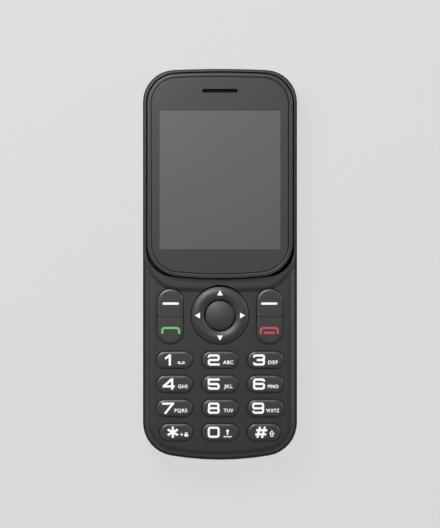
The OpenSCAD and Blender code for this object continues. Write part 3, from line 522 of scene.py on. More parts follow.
def mouthCutter(outline, gap=front["gap"]):
    profile = mouthProfile(gap, front["lip"], front["inner"] - 0.2, front["face"], frontHigh.z + 0.5)
    return shapeLoft("cutter", outline, profile)


def ringMouth(inset):
    x0, y0 = navCentre
    points = circleOutline(x0, y0, ringR - inset)
    return [(x, y + front["ringRoom"] * max((y - y0) / ringR, 0) ** 2) for x, y in points]


def shieldLoft(name, shape, profile):
    return shapeLoft(name, lambda d: shieldOutline(shape, d), profile)


def ease(t):
    t = min(max(t, 0.0), 1.0)
    return t * t * (3 - 2 * t)


def apronLoft():
    face, rise = front["face"], front["apronRise"]
    bed, steps = 0.05, 40       # starts a little under the face
    edge, far = shieldOutline(apronShape), shieldOutline(apronShape, -1)
    # the foot runs out only where the edge faces the keys
    down = [max(a[1] - b[1], 0) for a, b in zip(edge, far)]
    foot = [(x, y - front["apronSpread"] * d) for (x, y), d in zip(edge, down)]
    inner = shieldOutline(lensShape, 1 - front["rimWide"])
    rows = [(foot, face - front["apronDeep"])]
    for i in range(steps + 1):
        points, heights = [], []
        u = i / steps
        for (ax, ay), (bx, by), d in zip(foot, inner, down):
            points.append((ax + (bx - ax) * u, ay + (by - ay) * u))
            reach = math.hypot(bx - ax, by - ay)
            slope = ease(u * reach / front["apronFoot"]) * ease(d / front["apronTurn"])
            near = 1 - min(max(((1 - u) * reach - 1) / front["coveWide"], 0), 1)
            r = front["apronEdge"] * (1 - d)
            short = max(r - u * reach, 0)
            drop = r - math.sqrt(max(r * r - short * short, 0))
            heights.append(face - bed + (rise + bed) * slope + front["cove"] * d * near ** 2 - drop)
        rows.append((points, heights))
    return loft("apron", rows)


def buildFront():
    face, rimTop, ledge = front["face"], frontHigh.z, front["ledge"]
    step, roll, wall = front["step"], front["roll"], front["wall"]
    past = 0.5      # cutters stand out past what they cut
    outside = [(step, front["part"])] + rollUp(step, face - roll, roll, roll, 18)
    shell = shieldLoft("frontShell", bodyShape, outside)
    carve(shell, apronLoft(), "UNION")
    rimOut, edge = -front["rimWide"], front["rimEdge"]
    rim = [(rimOut, face - 1)] + rollUp(rimOut, rimTop - edge, edge, edge, 8)
    carve(shell, shieldLoft("rim", lensShape, rim), "UNION")

    around = dict(lensShape, lowCorner=lensShape["lowCorner"] - front["grooveCorner"])
    grooveOut, floor = rimOut - front["grooveWide"], front["grooveFloor"]
    groove = shieldLoft("groove", around, [(grooveOut, floor), (grooveOut, rimTop + past)])
    carve(groove, shieldLoft("core", lensShape, [(rimOut, floor - past), (rimOut, rimTop + 2 * past)]))
    carve(shell, groove)

    inset, innerRoll = step + wall, roll - wall
    cavity = [(inset, front["part"] - 0.1)] + rollUp(inset, ledge[0] - innerRoll, innerRoll, innerRoll, 6)
    carve(shell, shieldLoft("cavity", bodyShape, cavity))
    keyBoxes = [boxOf(n) for n in digitNames + pillNames]
    keyRoom, ringField = front["fieldRoom"]
    fieldX = max(high.x for low, high in keyBoxes) + keyRoom
    fieldY = (min(low.y for low, high in keyBoxes) - keyRoom, navCentre[1] + ringR + ringField)
    field = tabOutline(-fieldX, fieldX, *fieldY, 6, 6)
    carve(shell, prism("field", field, ledge[0] - 0.1, front["inner"]))

    recess = mouthProfile(front["lensGap"], front["rimLip"], ledge[1], rimTop, rimTop + past)
    carve(shell, shieldLoft("recess", lensShape, recess))
    side, room = window["viewHalf"], window["viewRoom"]
    view = tabOutline(-side, side, window["screenLow"] - room, window["screenTop"] + room, 0.5, 0.5)
    carve(shell, prism("view", view, ledge[0] - 0.2, ledge[1] + 0.1))
    mouths = [mouthCutter(lambda d, n=n: digitOutline(n, d)) for n in digitNames]
    mouths += [mouthCutter(lambda d, n=n: pillMouth(*n, d)) for n in (pillNames[:2], pillNames[2:])]
    mouths += [mouthCutter(ringMouth, front["ringGap"])]
    carve(shell, merge(mouths))
    weld(shell)
    smooth(shell, 20)
    fit(shell, "shell", "body", "shell_plastic", "front_housing")
    paint(shell, ["mesh"], lambda x, y, z: int(abs(z - floor) < 0.005))     # painted shade: the groove's floor takes the near-black mesh finish


window = {
    "edge": 0.25,
    "screenSide": 2.9, "screenTop": lensHigh.y - 11.85, "screenLow": lensLow.y + 8.7,
    "viewHalf": 21.6, "viewRoom": 0.5,      # opening in the front behind the screen
    "slotWide": 12.2, "slotTall": 1.2, "slotDrop": 4.9, "slotLip": 0.15,    # over the earpiece
}


def buildWindow():
    top, low, edge = lensHigh.z, lensLow.z, window["edge"]
    lens = shieldLoft("windowLens", lensShape, [(0, low)] + rollUp(0, top - edge, edge, edge, 5))
    slotY = lensHigh.y - window["slotDrop"]
    wide, tall = window["slotWide"] / 2, window["slotTall"] / 2

    def slotOutline(d):
        r = tall - d - 0.02
        return tabOutline(d - wide, wide - d, slotY - tall + d, slotY + tall - d, r, r)

    profile = mouthProfile(0.0, window["slotLip"], low - 0.2, top, top + 0.3)
    carve(lens, shapeLoft("slot", slotOutline, profile))
    side = lensShape["half"] - window["screenSide"]
    screenLow, screenTop = window["screenLow"], window["screenTop"]
    cutLines(lens, [(alongX, -side), (alongX, side), (alongY, screenLow), (alongY, screenTop)])
    smooth(lens)
    fit(lens, "border", "body", "window_gloss", "display_window")

    def pick(x, y, z):
        if abs(x) < side and screenLow < y < screenTop and z > top - 0.01:
            return 1
        # painted shade: the slot's walls and lip take the near-black mesh finish, so the slot reads dark
        if math.hypot(max(abs(x) - wide, 0), y - slotY) < tall + 0.05:
            return 2
        return 3 if z < top - 0.005 else 0      # the cut edge is dull

    paint(lens, ["panel", "mesh", "shell"], pick)


# keys

keyCap = {"seat": 10.3, "flangeTop": 11.1, "edgeWide": 1.1, "edgeTall": 0.55}


def keyProfile():
    wide, tall = keyCap["edgeWide"], keyCap["edgeTall"]
    foot = [(-flange, keyCap["seat"]), (-flange, keyCap["flangeTop"]), (0, keyCap["flangeTop"])]
    return foot + rollUp(0, keyHigh.z - tall, wide, tall, 10)


def buildKeys():
    for name in digitNames + pillNames:
        outline = digitOutline if name in digitNames else pillOutline
        cap = shapeLoft(name + "_cap", lambda d: outline(name, d), keyProfile())
        smooth(cap)
        fit(cap, "key", name, "key_plastic", name)


navRing = {
    "r": ringR, "hole": 5.6, "crown": 0.75, "edge": 0.22, "seat": 6.9, "ceiling": 11.3,
    "flange": 0.6, "flangeTop": 10.7,
    "reliefR": 8.4, "relief": 0.13,     # eased below so that it can rock
}
selectDome = {"r": 5.1, "crown": 0.85, "flange": 6.2, "flangeTop": 11.0, "edge": 0.25}


def ringHeight(r):
    mid = (navRing["r"] + navRing["hole"]) / 2
    half = (navRing["r"] - navRing["hole"]) / 2
    ball = (half ** 2 + navRing["crown"] ** 2) / (2 * navRing["crown"])
    crest = boxOf("navigation_ring")[1].z
    return crest - ball + math.sqrt(max(ball ** 2 - (r - mid) ** 2, 0))


def buildNavigation():
    ring, seat = navRing, keyCap["seat"]
    r, hole, edge, steps = ring["r"], ring["hole"], ring["edge"], 24
    out, span, bevel = r + ring["flange"], r - hole - 2 * edge, 0.3 * edge
    radii = [r - edge - span * i / steps for i in range(steps + 1)]
    crown = [(x, ringHeight(x)) for x in radii]
    first, last = crown[0][1], crown[-1][1]
    profile = [(ring["seat"], seat), (ring["reliefR"], seat), (out, seat + ring["relief"]),
               (out, ring["flangeTop"]), (r, ring["flangeTop"]),
               (r, first - edge), (r - bevel, first - bevel)]
    profile += crown
    profile += [(hole + bevel, last - bevel), (hole, last - edge), (hole, ring["ceiling"]),
                (ring["seat"], ring["ceiling"])]
    obj = lathe("navRingCap", navCentre, profile)
    smooth(obj)
    fit(obj, "ring", "navigation_ring", "key_plastic", "navigation_ring")

    dome, steps = selectDome, 20
    r, edge, out, bevel = dome["r"], dome["edge"], dome["flange"], 0.3 * dome["edge"]
    ball = (r ** 2 + dome["crown"] ** 2) / (2 * dome["crown"])
    crest = boxOf("select_key")[1].z
    radii = [(r - edge) * (1 - i / steps) for i in range(steps + 1)]
    crown = [(x, crest - ball + math.sqrt(ball ** 2 - x ** 2)) for x in radii]
    first = crown[0][1]
    profile = [(0, seat), (out, seat), (out, dome["flangeTop"]), (r, dome["flangeTop"]),
               (r, first - edge), (r - bevel, first - bevel)] + crown
    obj = lathe("selectCap", navCentre, profile)
    smooth(obj)
    fit(obj, "dome", "select_key", "key_plastic", "select_key")


# silicone sheet under the keys, with a pad under each key

membrane = {
    "web": (9.6, 9.9), "corner": 5.75,
    "padIn": 0.8, "padEdge": 0.06, "padTop": keyCap["seat"] - 0.005, "padKeep": 0.1,
    "plungerR": 1.2, "plungerLow": 8.65, "plungerEdge": 0.15, "ringPlungers": 7.8,
    "screwHole": 1.95, "screwOut": 0.55,
}
column = {"key_star": "key_7", "key_hash": "key_9"}     # trimmed caps, whose plungers stay in line


def buildMembrane():
    low, high = boxOf("keypad_membrane")
    foot, top = membrane["web"]
    outline = tabOutline(low.x, high.x, low.y, high.y, membrane["corner"], membrane["corner"])
    sheet = prism("membraneSheet", outline, foot, top)
    x, y, away = *navCentre, membrane["ringPlungers"]
    spots = [(x, y), (x + away, y), (x, y + away), (x - away, y), (x, y - away)]
    spots += [(middle(column.get(name, name)).x, middle(name).y) for name in digitNames + pillNames]
    wide, start, edge = membrane["plungerR"], membrane["plungerLow"], membrane["plungerEdge"]
    plunger = [(wide - edge, start), (wide, start + edge), (wide, foot + 0.1)]
    for x, y in spots:
        carve(sheet, loft("plunger", [(circleOutline(x, y, r, 32), z) for r, z in plunger]), "UNION")
    holeX = boxOf("key_6")[1].x - flange + membrane["screwOut"]
    holeY = (boxOf("key_6")[0].y + boxOf("key_9")[1].y) / 2
    for side in (-1, 1):
        hole = circleOutline(side * holeX, holeY, membrane["screwHole"], 48)
        carve(sheet, prism("screwHole", hole, foot - 1.5, top + 1))
    smooth(sheet)
    fit(sheet, "silicone", "body", "silicone", "keypad_membrane")

    pads = [(n, lambda d, n=n: digitOutline(n, d)) for n in digitNames]
    pads += [(n, lambda d, n=n: pillOutline(n, d)) for n in pillNames]
    pads += [("select_key", lambda d: circleOutline(*navCentre, selectDome["r"] - d, 96))]
    inset, padTop, edge = membrane["padIn"], membrane["padTop"], membrane["padEdge"]
    profile = [(0, top), (0, padTop - edge), (0.3 * edge, padTop - 0.3 * edge), (edge, padTop)]
    for name, shape in pads:
        pad = loft(name + "_pad", [(shape(inset + d), z) for d, z in profile])
        smooth(pad)
        fit(pad, "silicone", "body", "silicone")
        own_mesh(pad)


# printed legends, drawn as strokes and laid a hair above the key tops

legend = {
    "wide": 4.2, "tall": 3.93, "stroke": 0.77, "lift": 0.014, "sink": 0.03,
    "hook": 0.72,                       # short upright ends of the rounder digits
    "mitre": 0.35,                      # keeps sharp corners from running out too far
    "wordTall": 1.25, "wordDrop": 1.44, "bold": 0.07,
    "capShare": 0.73, "spacing": 1.12,  # of the typeface: a capital's height, and the letters' spacing
    "pillX": 17.25,
}


def roundCorners(points, radius, closed, steps=6):
    count = len(points)
    out = []
    for i, p in enumerate(points):
        if not closed and i in (0, count - 1):
            out.append(p)
            continue
        a, b = points[i - 1], points[(i + 1) % count]
        la, lb = math.dist(a, p), math.dist(b, p)
        shareA = 1 if not closed and i == 1 else 0.5              # an end stroke has no second corner
        shareB = 1 if not closed and i == count - 2 else 0.5
        ua = ((a[0] - p[0]) / la, (a[1] - p[1]) / la)
        ub = ((b[0] - p[0]) / lb, (b[1] - p[1]) / lb)
        turn = math.acos(max(-1, min(1, ua[0] * ub[0] + ua[1] * ub[1])))
        reach = min(radius / math.tan(turn / 2), la * shareA, lb * shareB)
        start = (p[0] + ua[0] * reach, p[1] + ua[1] * reach)
        end = (p[0] + ub[0] * reach, p[1] + ub[1] * reach)
        for k in range(steps + 1):
            t = k / steps
            w = ((1 - t) ** 2, 2 * t * (1 - t), t ** 2)
            out.append(tuple(w[0] * start[c] + w[1] * p[c] + w[2] * end[c] for c in (0, 1)))
    return out


def strokeObject(points, width, z, closed=False, radius=0.45):
    path = roundCorners(points, radius, closed) if radius > width / 2 else points
    path = [p for i, p in enumerate(path) if i == 0 or math.dist(p, path[i - 1]) > 1e-4]
    count = len(path)
    left, right = [], []
    for i, p in enumerate(path):
        a = path[i - 1] if (closed or i > 0) else p
        b = path[(i + 1) % count] if (closed or i < count - 1) else p
        d1 = Vector((p[0] - a[0], p[1] - a[1]))
        d2 = Vector((b[0] - p[0], b[1] - p[1]))
        d1 = d1.normalized() if d1.length > 1e-9 else d2.normalized()
        d2 = d2.normalized() if d2.length > 1e-9 else d1
        along = (d1 + d2).normalized()
        reach = width / 2 / max(along.dot(d1), legend["mitre"])
        left.append((p[0] - along.y * reach, p[1] + along.x * reach))
        right.append((p[0] + along.y * reach, p[1] - along.x * reach))
    bm = bmesh.new()
    if closed:
        rows = [ringVerts(bm, side, h) for side, h in
                ((left, z - legend["sink"]), (right, z - legend["sink"]), (right, z), (left, z))]
        for a, b in zip(rows, rows[1:] + rows[:1]):
            skin(bm, a, b)
    else:
        outline = right + left[::-1]
        low, high = ringVerts(bm, outline, z - legend["sink"]), ringVerts(bm, outline, z)
        skin(bm, low, high)
        for i in range(count - 1):
            j, k, m = i + 1, len(outline) - 2 - i, len(outline) - 1 - i
            bm.faces.new((high[i], high[j], high[k], high[m]))
            bm.faces.new((low[m], low[k], low[j], low[i]))
    bmesh.ops.recalc_face_normals(bm, faces=bm.faces)
    return addObject("stroke", bm)


def wordObject(text, x, y, tall, z, wide):
    curve = bpy.data.curves.new("word", "FONT")
    curve.body = text
    curve.size = tall * mm / legend["capShare"]
    curve.extrude = legend["sink"] * mm / 2
    curve.space_character = legend["spacing"]
    curve.resolution_u = 3
    obj = addToScene("word", curve)
    mesh = bakedMesh(obj)
    bpy.data.objects.remove(obj)
    xs = [v.co.x for v in mesh.vertices]
    left, squeeze = min(xs), wide * mm / (max(xs) - min(xs))
    down = legend["sink"] / 2
    for v in mesh.vertices:
        v.co = ((v.co.x - left) * squeeze + x * mm, v.co.y + y * mm, v.co.z + (z - down) * mm)
    # four copies a little apart make the letters bolder
    bold = legend["bold"] * mm
    copies = []
    for shift in ((0, 0, 0), (bold, 0, 0), (0, bold, 0), (bold, bold, 0)):
        copies.append(addToScene("word", mesh.copy()))
        copies[-1].data.transform(Matrix.Translation(shift))
    return joinStrokes(copies)


def bar(*points):
    return points, False, 0.1


def bend(*points, r=0.6):
    return points, False, r


def loop(*points, r=0.6):
    return points, True, r


def digitStrokes(sign):
    w, h, t, hook = legend["wide"], legend["tall"], legend["stroke"], legend["hook"]
    x0, x1, y0, y1, ym = t / 2, w - t / 2, t / 2, h - t / 2, h / 2
    arms = [(2.05 * math.cos(a), 1.96 * math.sin(a)) for a in map(math.radians, (90, 30, 150))]
    return {
        "0": [loop((x0, y0), (x1, y0), (x1, y1), (x0, y1), r=0.75)],
        "1": [bar((1.85, 0), (1.85, h)), bar((0.2, h - 1.5), (1.8, h - 0.42))],
        "2": [bend((x0, y1 - hook), (x0, y1), (x1, y1), (x1, ym), (x0, ym), (x0, y0), (w, y0))],
        "3": [bend((x0, y1 - hook), (x0, y1), (x1, y1), (x1, ym), (1.3, ym)),
              bend((1.3, ym), (x1, ym), (x1, y0), (x0, y0), (x0, y0 + hook))],
        "4": [bar((3.1, h - 0.3), (0.35, 1.2)), bar((0.0, 1.15), (w, 1.15)), bar((3.3, h), (3.3, 0))],
        "5": [bar((w - 0.05, y1), (x0, y1), (x0, ym - t / 2)),
              bend((0, ym), (x1, ym), (x1, y0), (x0, y0), (x0, y0 + hook))],
        "6": [loop((x0, y0), (x1, y0), (x1, ym + 0.05), (x0, ym + 0.05)),
              bend((x0, ym - hook), (x0, y1), (x1, y1), (x1, y1 - hook), r=0.7)],
        "7": [bar((0, y1), (w, y1)), bar((x1 - 0.03, y1), (0.95, 0))],
        "8": [loop((x0, y0), (x1, y0), (x1, ym), (x0, ym)),
              loop((x0 + 0.08, ym), (x1 - 0.08, ym), (x1 - 0.08, y1), (x0 + 0.08, y1))],
        "9": [loop((x0, ym - 0.05), (x1, ym - 0.05), (x1, y1), (x0, y1)),
              bend((x1, ym + hook), (x1, y0), (x0, y0), (x0, y0 + hook), r=0.7)],
        "*": [bar((w / 2 - dx, h / 2 - dy), (w / 2 + dx, h / 2 + dy)) for dx, dy in arms],
        "#": [bar((0.75, 0), (1.75, h)), bar((2.4, 0), (3.4, h)),
              bar((0.05, 1.25), (w - 0.35, 1.25)), bar((0.4, h - 1.25), (w, h - 1.25))],
    }[sign]


def reel(x):
    turn = [math.radians(30 * i) for i in range(12)]
    return [(x + 0.36 * math.cos(a), 0.56 + 0.36 * math.sin(a)) for a in turn]


# icons: how far below the key's middle they start, then strokes with points, closed or open, corner and width
icons = {
    "tape": (1.5, [
        (reel(0.45), True, 0.01, 0.22), (reel(2.0), True, 0.01, 0.22),
        ([(0.45, 0.2), (2.0, 0.2)], False, 0.01, 0.22)]),
    "plusLock": (1.5, [
        ([(-0.1, 0.72), (1.0, 0.72)], False, 0.01, 0.24), ([(0.45, 0.17), (0.45, 1.27)], False, 0.01, 0.24),
        ([(1.45, 0.42), (2.75, 0.42)], False, 0.01, 0.84),
        ([(1.72, 0.7), (1.72, 1.35), (2.48, 1.35), (2.48, 0.7)], False, 0.3, 0.26)]),
    "torchSpace": (1.75, [
        ([(0.12, 0.5), (0.12, 0.16), (2.5, 0.16), (2.5, 0.5)], False, 0.1, 0.32),
        ([(1.31, 0.75), (1.31, 1.9)], False, 0.01, 0.5), ([(0.8, 2.35), (1.82, 2.35)], False, 0.01, 0.55),
        ([(1.31, 1.8), (1.31, 2.2)], False, 0.01, 0.75)]),
    "arrow": (1.55, [
        ([(0.85, 2.0), (0.15, 1.1), (0.5, 1.1), (0.5, 0.15), (1.2, 0.15), (1.2, 1.1), (1.55, 1.1)],
         True, 0.05, 0.3)]),
}
# sign, its left edge from the key's middle, the small word or icon beside it, its left edge and width
digitLegends = {
    "key_1": ("1", -3.45, "tape", 1.15, 2.6), "key_2": ("2", -4.3, "ABC", 1.1, 3.5),
    "key_3": ("3", -4.4, "DEF", 0.9, 3.35), "key_4": ("4", -4.1, "GHI", 1.25, 3.2),
    "key_5": ("5", -4.3, "JKL", 1.4, 3.0), "key_6": ("6", -4.4, "MNO", 0.75, 3.7),
    "key_7": ("7", -4.3, "PQRS", 0.05, 4.35), "key_8": ("8", -4.3, "TUV", 1.3, 3.25),
    "key_9": ("9", -4.7, "WXYZ", 0.2, 4.5), "key_star": ("*", -2.65, "plusLock", 2.05, 2.75),
    "key_0": ("0", -4.3, "torchSpace", 1.35, 2.6), "key_hash": ("#", -3.65, "arrow", 1.35, 1.7),
}


def joinStrokes(strokes):
    made = strokes[0]
    for other in strokes[1:]:
        carve(made, other, "UNION")
    return made


def finishLegend(obj, name, look, body, slot):
    obj.name = name
    obj.data.name = name
    fit(obj, look, body, slot)


def shift(points, dx, dy):
    return [(x + dx, y + dy) for x, y in points]


trimmed = {"key_star": -0.6, "key_hash": 0.6}       # from the middle of a cap that is cut at its outer end


def buildDigitLegends(z):
    for node, (sign, left, small, smallLeft, smallWide) in digitLegends.items():
        cx, cy = middle(node).x + trimmed.get(node, 0), middle(node).y
        y = cy - legend["tall"] / 2
        big = joinStrokes([strokeObject(shift(points, cx + left, y), legend["stroke"], z, closed, r)
                           for points, closed, r in digitStrokes(sign)])
        if small in icons:
            drop, strokes = icons[small]
            extra = joinStrokes([strokeObject(shift(points, cx + smallLeft, cy - drop), wide, z, closed, r)
                                 for points, closed, r, wide in strokes])
        else:
            y = cy - legend["wordDrop"]
            extra = wordObject(small, cx + smallLeft, y, legend["wordTall"], z, smallWide)
        finishLegend(merge([big, extra]), node + "_legend", "legendWhite", node, "white_plastic")


dash = {"wide": 5.7, "tall": 0.75, "y": -13.72}
handset = {"wide": 6.6, "tall": 2.4, "stroke": 0.72, "low": -24.3, "round": 0.95,
           "barY": -23.95, "barHalf": 1.85, "barStroke": 0.75}      # the end key's has a bar below


def buildPillLegends(z):
    half, r, y = dash["wide"] / 2, dash["tall"] / 2, dash["y"]
    for node, side in (("left_soft_key", -1), ("right_soft_key", 1)):
        cx = side * legend["pillX"]
        outline = tabOutline(cx - half, cx + half, y - r, y + r, r - 0.01, r - 0.01, 6)
        patch = prism("patch", outline, z - legend["sink"], z)
        finishLegend(patch, node + "_legend", "legendWhite", node, "white_plastic")

    wide, low, barY = handset["stroke"], handset["low"], handset["barY"]
    half, top = handset["wide"] / 2 - wide / 2, low + handset["tall"] - wide / 2
    for node, side, look in (("call_key", -1, "legendGreen"), ("end_key", 1, "legendRed")):
        cx = side * legend["pillX"]
        path = [(cx - half, low), (cx - half, top), (cx + half, top), (cx + half, low)]
        strokes = [strokeObject(path, wide, z, False, handset["round"])]
        if node == "end_key":
            ends = [(cx - handset["barHalf"], barY), (cx + handset["barHalf"], barY)]
            strokes.append(strokeObject(ends, handset["barStroke"], z))
        finishLegend(merge(strokes), node + "_legend", look, node, "key_plastic")


arrow = {"r": 7.9, "wide": 2.0, "tall": 1.75, "steps": 8}


def arrowObject(a):
    # cut into small triangles, so that it follows the ring's crown
    bm, rows, steps = bmesh.new(), [], arrow["steps"]
    for i in range(steps + 1):
        count = steps - i
        out = arrow["r"] + arrow["tall"] * (i / steps - 0.5)
        row = []
        for k in range(count + 1):
            s = arrow["wide"] * (1 - i / steps) * (k / count - 0.5) if count else 0
            px, py = out * math.cos(a) - s * math.sin(a), out * math.sin(a) + s * math.cos(a)
            h = ringHeight(math.hypot(px, py)) + legend["lift"]
            row.append(bm.verts.new(((navCentre[0] + px) * mm, (navCentre[1] + py) * mm, h * mm)))
        rows.append(row)
    for lower, upper in zip(rows, rows[1:]):
        for k in range(len(upper)):
            bm.faces.new((lower[k], lower[k + 1], upper[k]))
            if k + 1 < len(upper):
                bm.faces.new((lower[k + 1], upper[k + 1], upper[k]))
    base = list(bm.faces)
    bmesh.ops.recalc_face_normals(bm, faces=base)
    made = bmesh.ops.extrude_face_region(bm, geom=base)
    for v in [g for g in made["geom"] if isinstance(g, bmesh.types.BMVert)]:
        v.co.z -= legend["sink"] * mm
    bmesh.ops.recalc_face_normals(bm, faces=bm.faces)
    return addObject("arrow", bm)


def buildLegends():
    z = keyHigh.z + legend["lift"]
    buildDigitLegends(z)
    buildPillLegends(z)
    arrows = merge([arrowObject(math.radians(turn)) for turn in (0, 90, 180, 270)])
    finishLegend(arrows, "navRing_legend", "legendWhite", "navigation_ring", "white_plastic")


# back cover, camera and torch

cover = {
    "wall": 1.2, "roll": 4.2, "high": boxOf("back_cover")[1].z,
    "nubs": (46.5, 0, -46.5), "nubLong": 5, "nubOut": 0.22, "nubZ": (0.8, 0.2),     # catches along both sides
    "eyeGap": 0.15,
    "slots": 5, "slotPitch": 1.8, "slotWide": 1.1, "slotLong": 9,
    "notchY": bodyLow.y + 18, "notchLong": 10, "notchR": 1.8, "notchOut": 1, "notchUp": 0.4,
    "edge": 0.16,       # softened edge of each opening
}


def openingCutter(outline, wall):
    # through the flat back, flared where it meets the outside
    e = cover["edge"]
    profile = [(-2 * e, -e), (-e, 0), (-0.3 * e, 0.3 * e), (0, e), (0, wall + 0.5)]
    return shapeLoft("opening", outline, profile)


def buildCover():
    low, high = boxOf("back_cover")
    wall, roll, tall = cover["wall"], cover["roll"], cover["high"]
    shell = shieldLoft("coverShell", bodyShape, rollBack(0, 0, roll, tall, 20))
    inner = rollBack(wall, wall, roll - wall, tall - wall, 12) + [(wall, tall + 1)]
    carve(shell, shieldLoft("tray", bodyShape, inner))
    x = high.x - wall
    half, nubZ = cover["nubLong"] / 2, [tall - drop for drop in cover["nubZ"]]
    for y in cover["nubs"]:
        for side in (-1, 1):
            ends = sorted((side * (x + 0.2), side * (x - cover["nubOut"])))
            nub = tabOutline(*ends, y - half, y + half, 0.1, 0.1, 3)
            carve(shell, prism("nub", nub, *nubZ), "UNION")
    ringLow, ringHigh = boxOf("camera_ring")
    eye, mid = middle("camera_ring"), middle("speaker_mesh")
    eyeR = (ringHigh.x - ringLow.x) / 2 + cover["eyeGap"]
    carve(shell, openingCutter(lambda d: circleOutline(eye.x, eye.y, eyeR - d, 72), wall))
    slots = []
    for i in range(cover["slots"]):
        y = mid.y + (i - (cover["slots"] - 1) / 2) * cover["slotPitch"]

        def slotOutline(d, y=y):
            w, h = cover["slotLong"] / 2 - d, cover["slotWide"] / 2 - d
            return tabOutline(mid.x - w, mid.x + w, y - h, y + h, h - 0.02, h - 0.02, 8)

        slots.append(openingCutter(slotOutline, wall))
    carve(shell, merge(slots))
    reach = cover["notchLong"] / 2
    notch = prism("notch", circleOutline(0, 0, cover["notchR"], 48), -reach, reach)
    place = Vector((low.x - cover["notchOut"], cover["notchY"], tall + cover["notchUp"]))
    notch.data.transform(Matrix.Translation(place * mm) @ Matrix.Rotation(math.radians(90), 4, "X"))
    carve(shell, notch)
    smooth(shell, 30)
    fit(shell, "cover", "back_cover", "shell_plastic", "back_cover")


cameraEye = {
    "lens": 0.95, "bulge": 0.12, "edge": 0.12, "spigot": 3.0, "bore": 2.3,
    "glassGap": 0.05, "glassEdge": 0.08,
    "steps": [(0.5, 0), (0.42, 0.1), (0.05, 0.14), (0, 0.2)],   # down to the lens: out from it, how deep
}


def buildCameraEye():
    low, high = boxOf("camera_ring")
    glassLow, glassHigh = boxOf("camera_window")
    centre = ((low.x + high.x) / 2, (low.y + high.y) / 2)
    r, glassR, e = (high.x - low.x) / 2, (glassHigh.x - glassLow.x) / 2, cameraEye["edge"]
    spigot, bore, seat = cameraEye["spigot"], cameraEye["bore"], glassHigh.z
    mouth, foot = glassR + cameraEye["glassGap"], boxOf("rear_housing")[0].z
    ring = [(bore, high.z), (bore, seat), (mouth, seat), (mouth, low.z + 0.5 * e), (mouth + 0.5 * e, low.z),
            (r - e, low.z), (r - 0.3 * e, low.z + 0.3 * e), (r, low.z + e),
            (r, foot), (spigot, foot), (spigot, high.z)]
    obj = lathe("cameraTrim", centre, ring, 96)
    smooth(obj)
    fit(obj, "metal_trim", "body", "metal_trim", "camera_ring")

    lens, steps, face, edge = cameraEye["lens"], cameraEye["steps"], glassLow.z, cameraEye["glassEdge"]
    glass = [(0, seat), (glassR, seat), (glassR, face + edge), (glassR - edge, face)]
    glass += [(lens + out, face + deep) for out, deep in steps]
    floor = face + steps[-1][1]
    for i in range(1, 9):
        glass.append((lens * (1 - i / 8), floor - cameraEye["bulge"] * math.sin(math.radians(90 * i / 8))))
    obj = lathe("cameraGlass", centre, glass[::-1], 96)
    smooth(obj, 25)
    fit(obj, "lensGlass", "body", "clear", "camera_window")
    paint(obj, ["lensEye"], lambda x, y, z: int(math.dist((x, y), centre) < lens and z < seat - 0.1))


torch = {"r": 1.4, "seat": 0.6, "edge": (0.08, 0.1), "crown": 0.12, "rings": 4, "groove": 0.05, "chip": 0.42}


def buildTorch():
    low, high = boxOf("torch_lens")
    mid = middle("torch_lens")
    r, flangeR, seat = torch["r"], (high.x - low.x) / 2, low.y + torch["seat"]
    crown, count, (edgeWide, edgeTall) = torch["crown"], torch["rings"] * 2, torch["edge"]
    face = [(r, high.y - crown - edgeTall), (r - edgeWide, high.y - crown)]
    for i in range(count):
        f = 1 - (i + 1) / (count + 1)
        groove = torch["groove"] if i % 2 else 0
        face.append(((r - edgeWide) * f, high.y - crown * f ** 2 - groove))
    profile = [(0, low.y), (flangeR, low.y), (flangeR, seat), (r, seat)] + face + [(0, high.y)]
    obj = lathe("torchLens", (0, 0), profile, 64)
    place = Matrix.Translation(Vector((mid.x, 0, mid.z)) * mm)
    obj.data.transform(place @ Matrix.Rotation(math.radians(-90), 4, "X"))
    smooth(obj, 20)
    fit(obj, "torchClear", "body", "clear", "torch_lens")
    chip = torch["chip"]
    paint(obj, ["lamp"], lambda x, y, z: int(math.hypot(x - mid.x, z - mid.z) < chip and y > seat))


battery = {
    "corner": 1.5, "edge": 0.5, "topCap": 4.5, "lowCap": 2.2,       # moulded end caps on a plain can
    "seamWide": 0.25, "seamDeep": 0.12,
    "padOut": 0.03, "padDeep": 0.3, "padPitch": 2.8, "padWide": 1.9, "padZ": (3.3, 5.1),    # flat contacts
}


def buildBattery():
    low, high = boxOf("battery")
    top, e = high.y - battery["padOut"], battery["edge"]

    def canOutline(d):
        r = battery["corner"] - d
        return tabOutline(low.x + d, high.x - d, low.y + d, top - d, r, r)

    profile = rollBack(0, low.z, e, e, 6) + rollUp(0, high.z - e, e, e, 6)
    can = shapeLoft("batteryCan", canOutline, profile)
    topSeam, lowSeam = top - battery["topCap"], low.y + battery["lowCap"]
    half, deep = battery["seamWide"] / 2, battery["seamDeep"]
    for y in (topSeam, lowSeam):
        around = tabOutline(low.x - 1, high.x + 1, y - half, y + half, 0.01, 0.01, 2)
        within = tabOutline(low.x + deep, high.x - deep, y - 1, y + 1, 0.01, 0.01, 2)
        seam = prism("seam", around, low.z - 0.5, high.z + 0.5)
        carve(seam, prism("core", within, low.z + deep, high.z - deep))
        carve(can, seam)
    smooth(can)
    fit(can, "battery_can", "battery", "battery_can", "battery")
    cutLines(can, [(alongY, topSeam), (alongY, lowSeam)])
    paint(can, ["black_plastic"], lambda x, y, z: int(not lowSeam < y < topSeam))

    pads, half = [], battery["padWide"] / 2
    for i in (-1, 0, 1):
        x = i * battery["padPitch"]
        outline = tabOutline(x - half, x + half, top - battery["padDeep"], high.y, 0.02, 0.02, 2)
        pads.append(prism("pad", outline, *battery["padZ"]))
    fit(merge(pads, "batteryPads"), "contacts", "battery", "contacts")


buildFront()
print("front shell built")
buildWindow()
print("window built")
buildKeys()
buildNavigation()
print("keys built")
buildMembrane()
print("membrane built")
buildLegends()
print("legends built")
buildCover()
buildCameraEye()
buildTorch()
buildBattery()
print("back built")


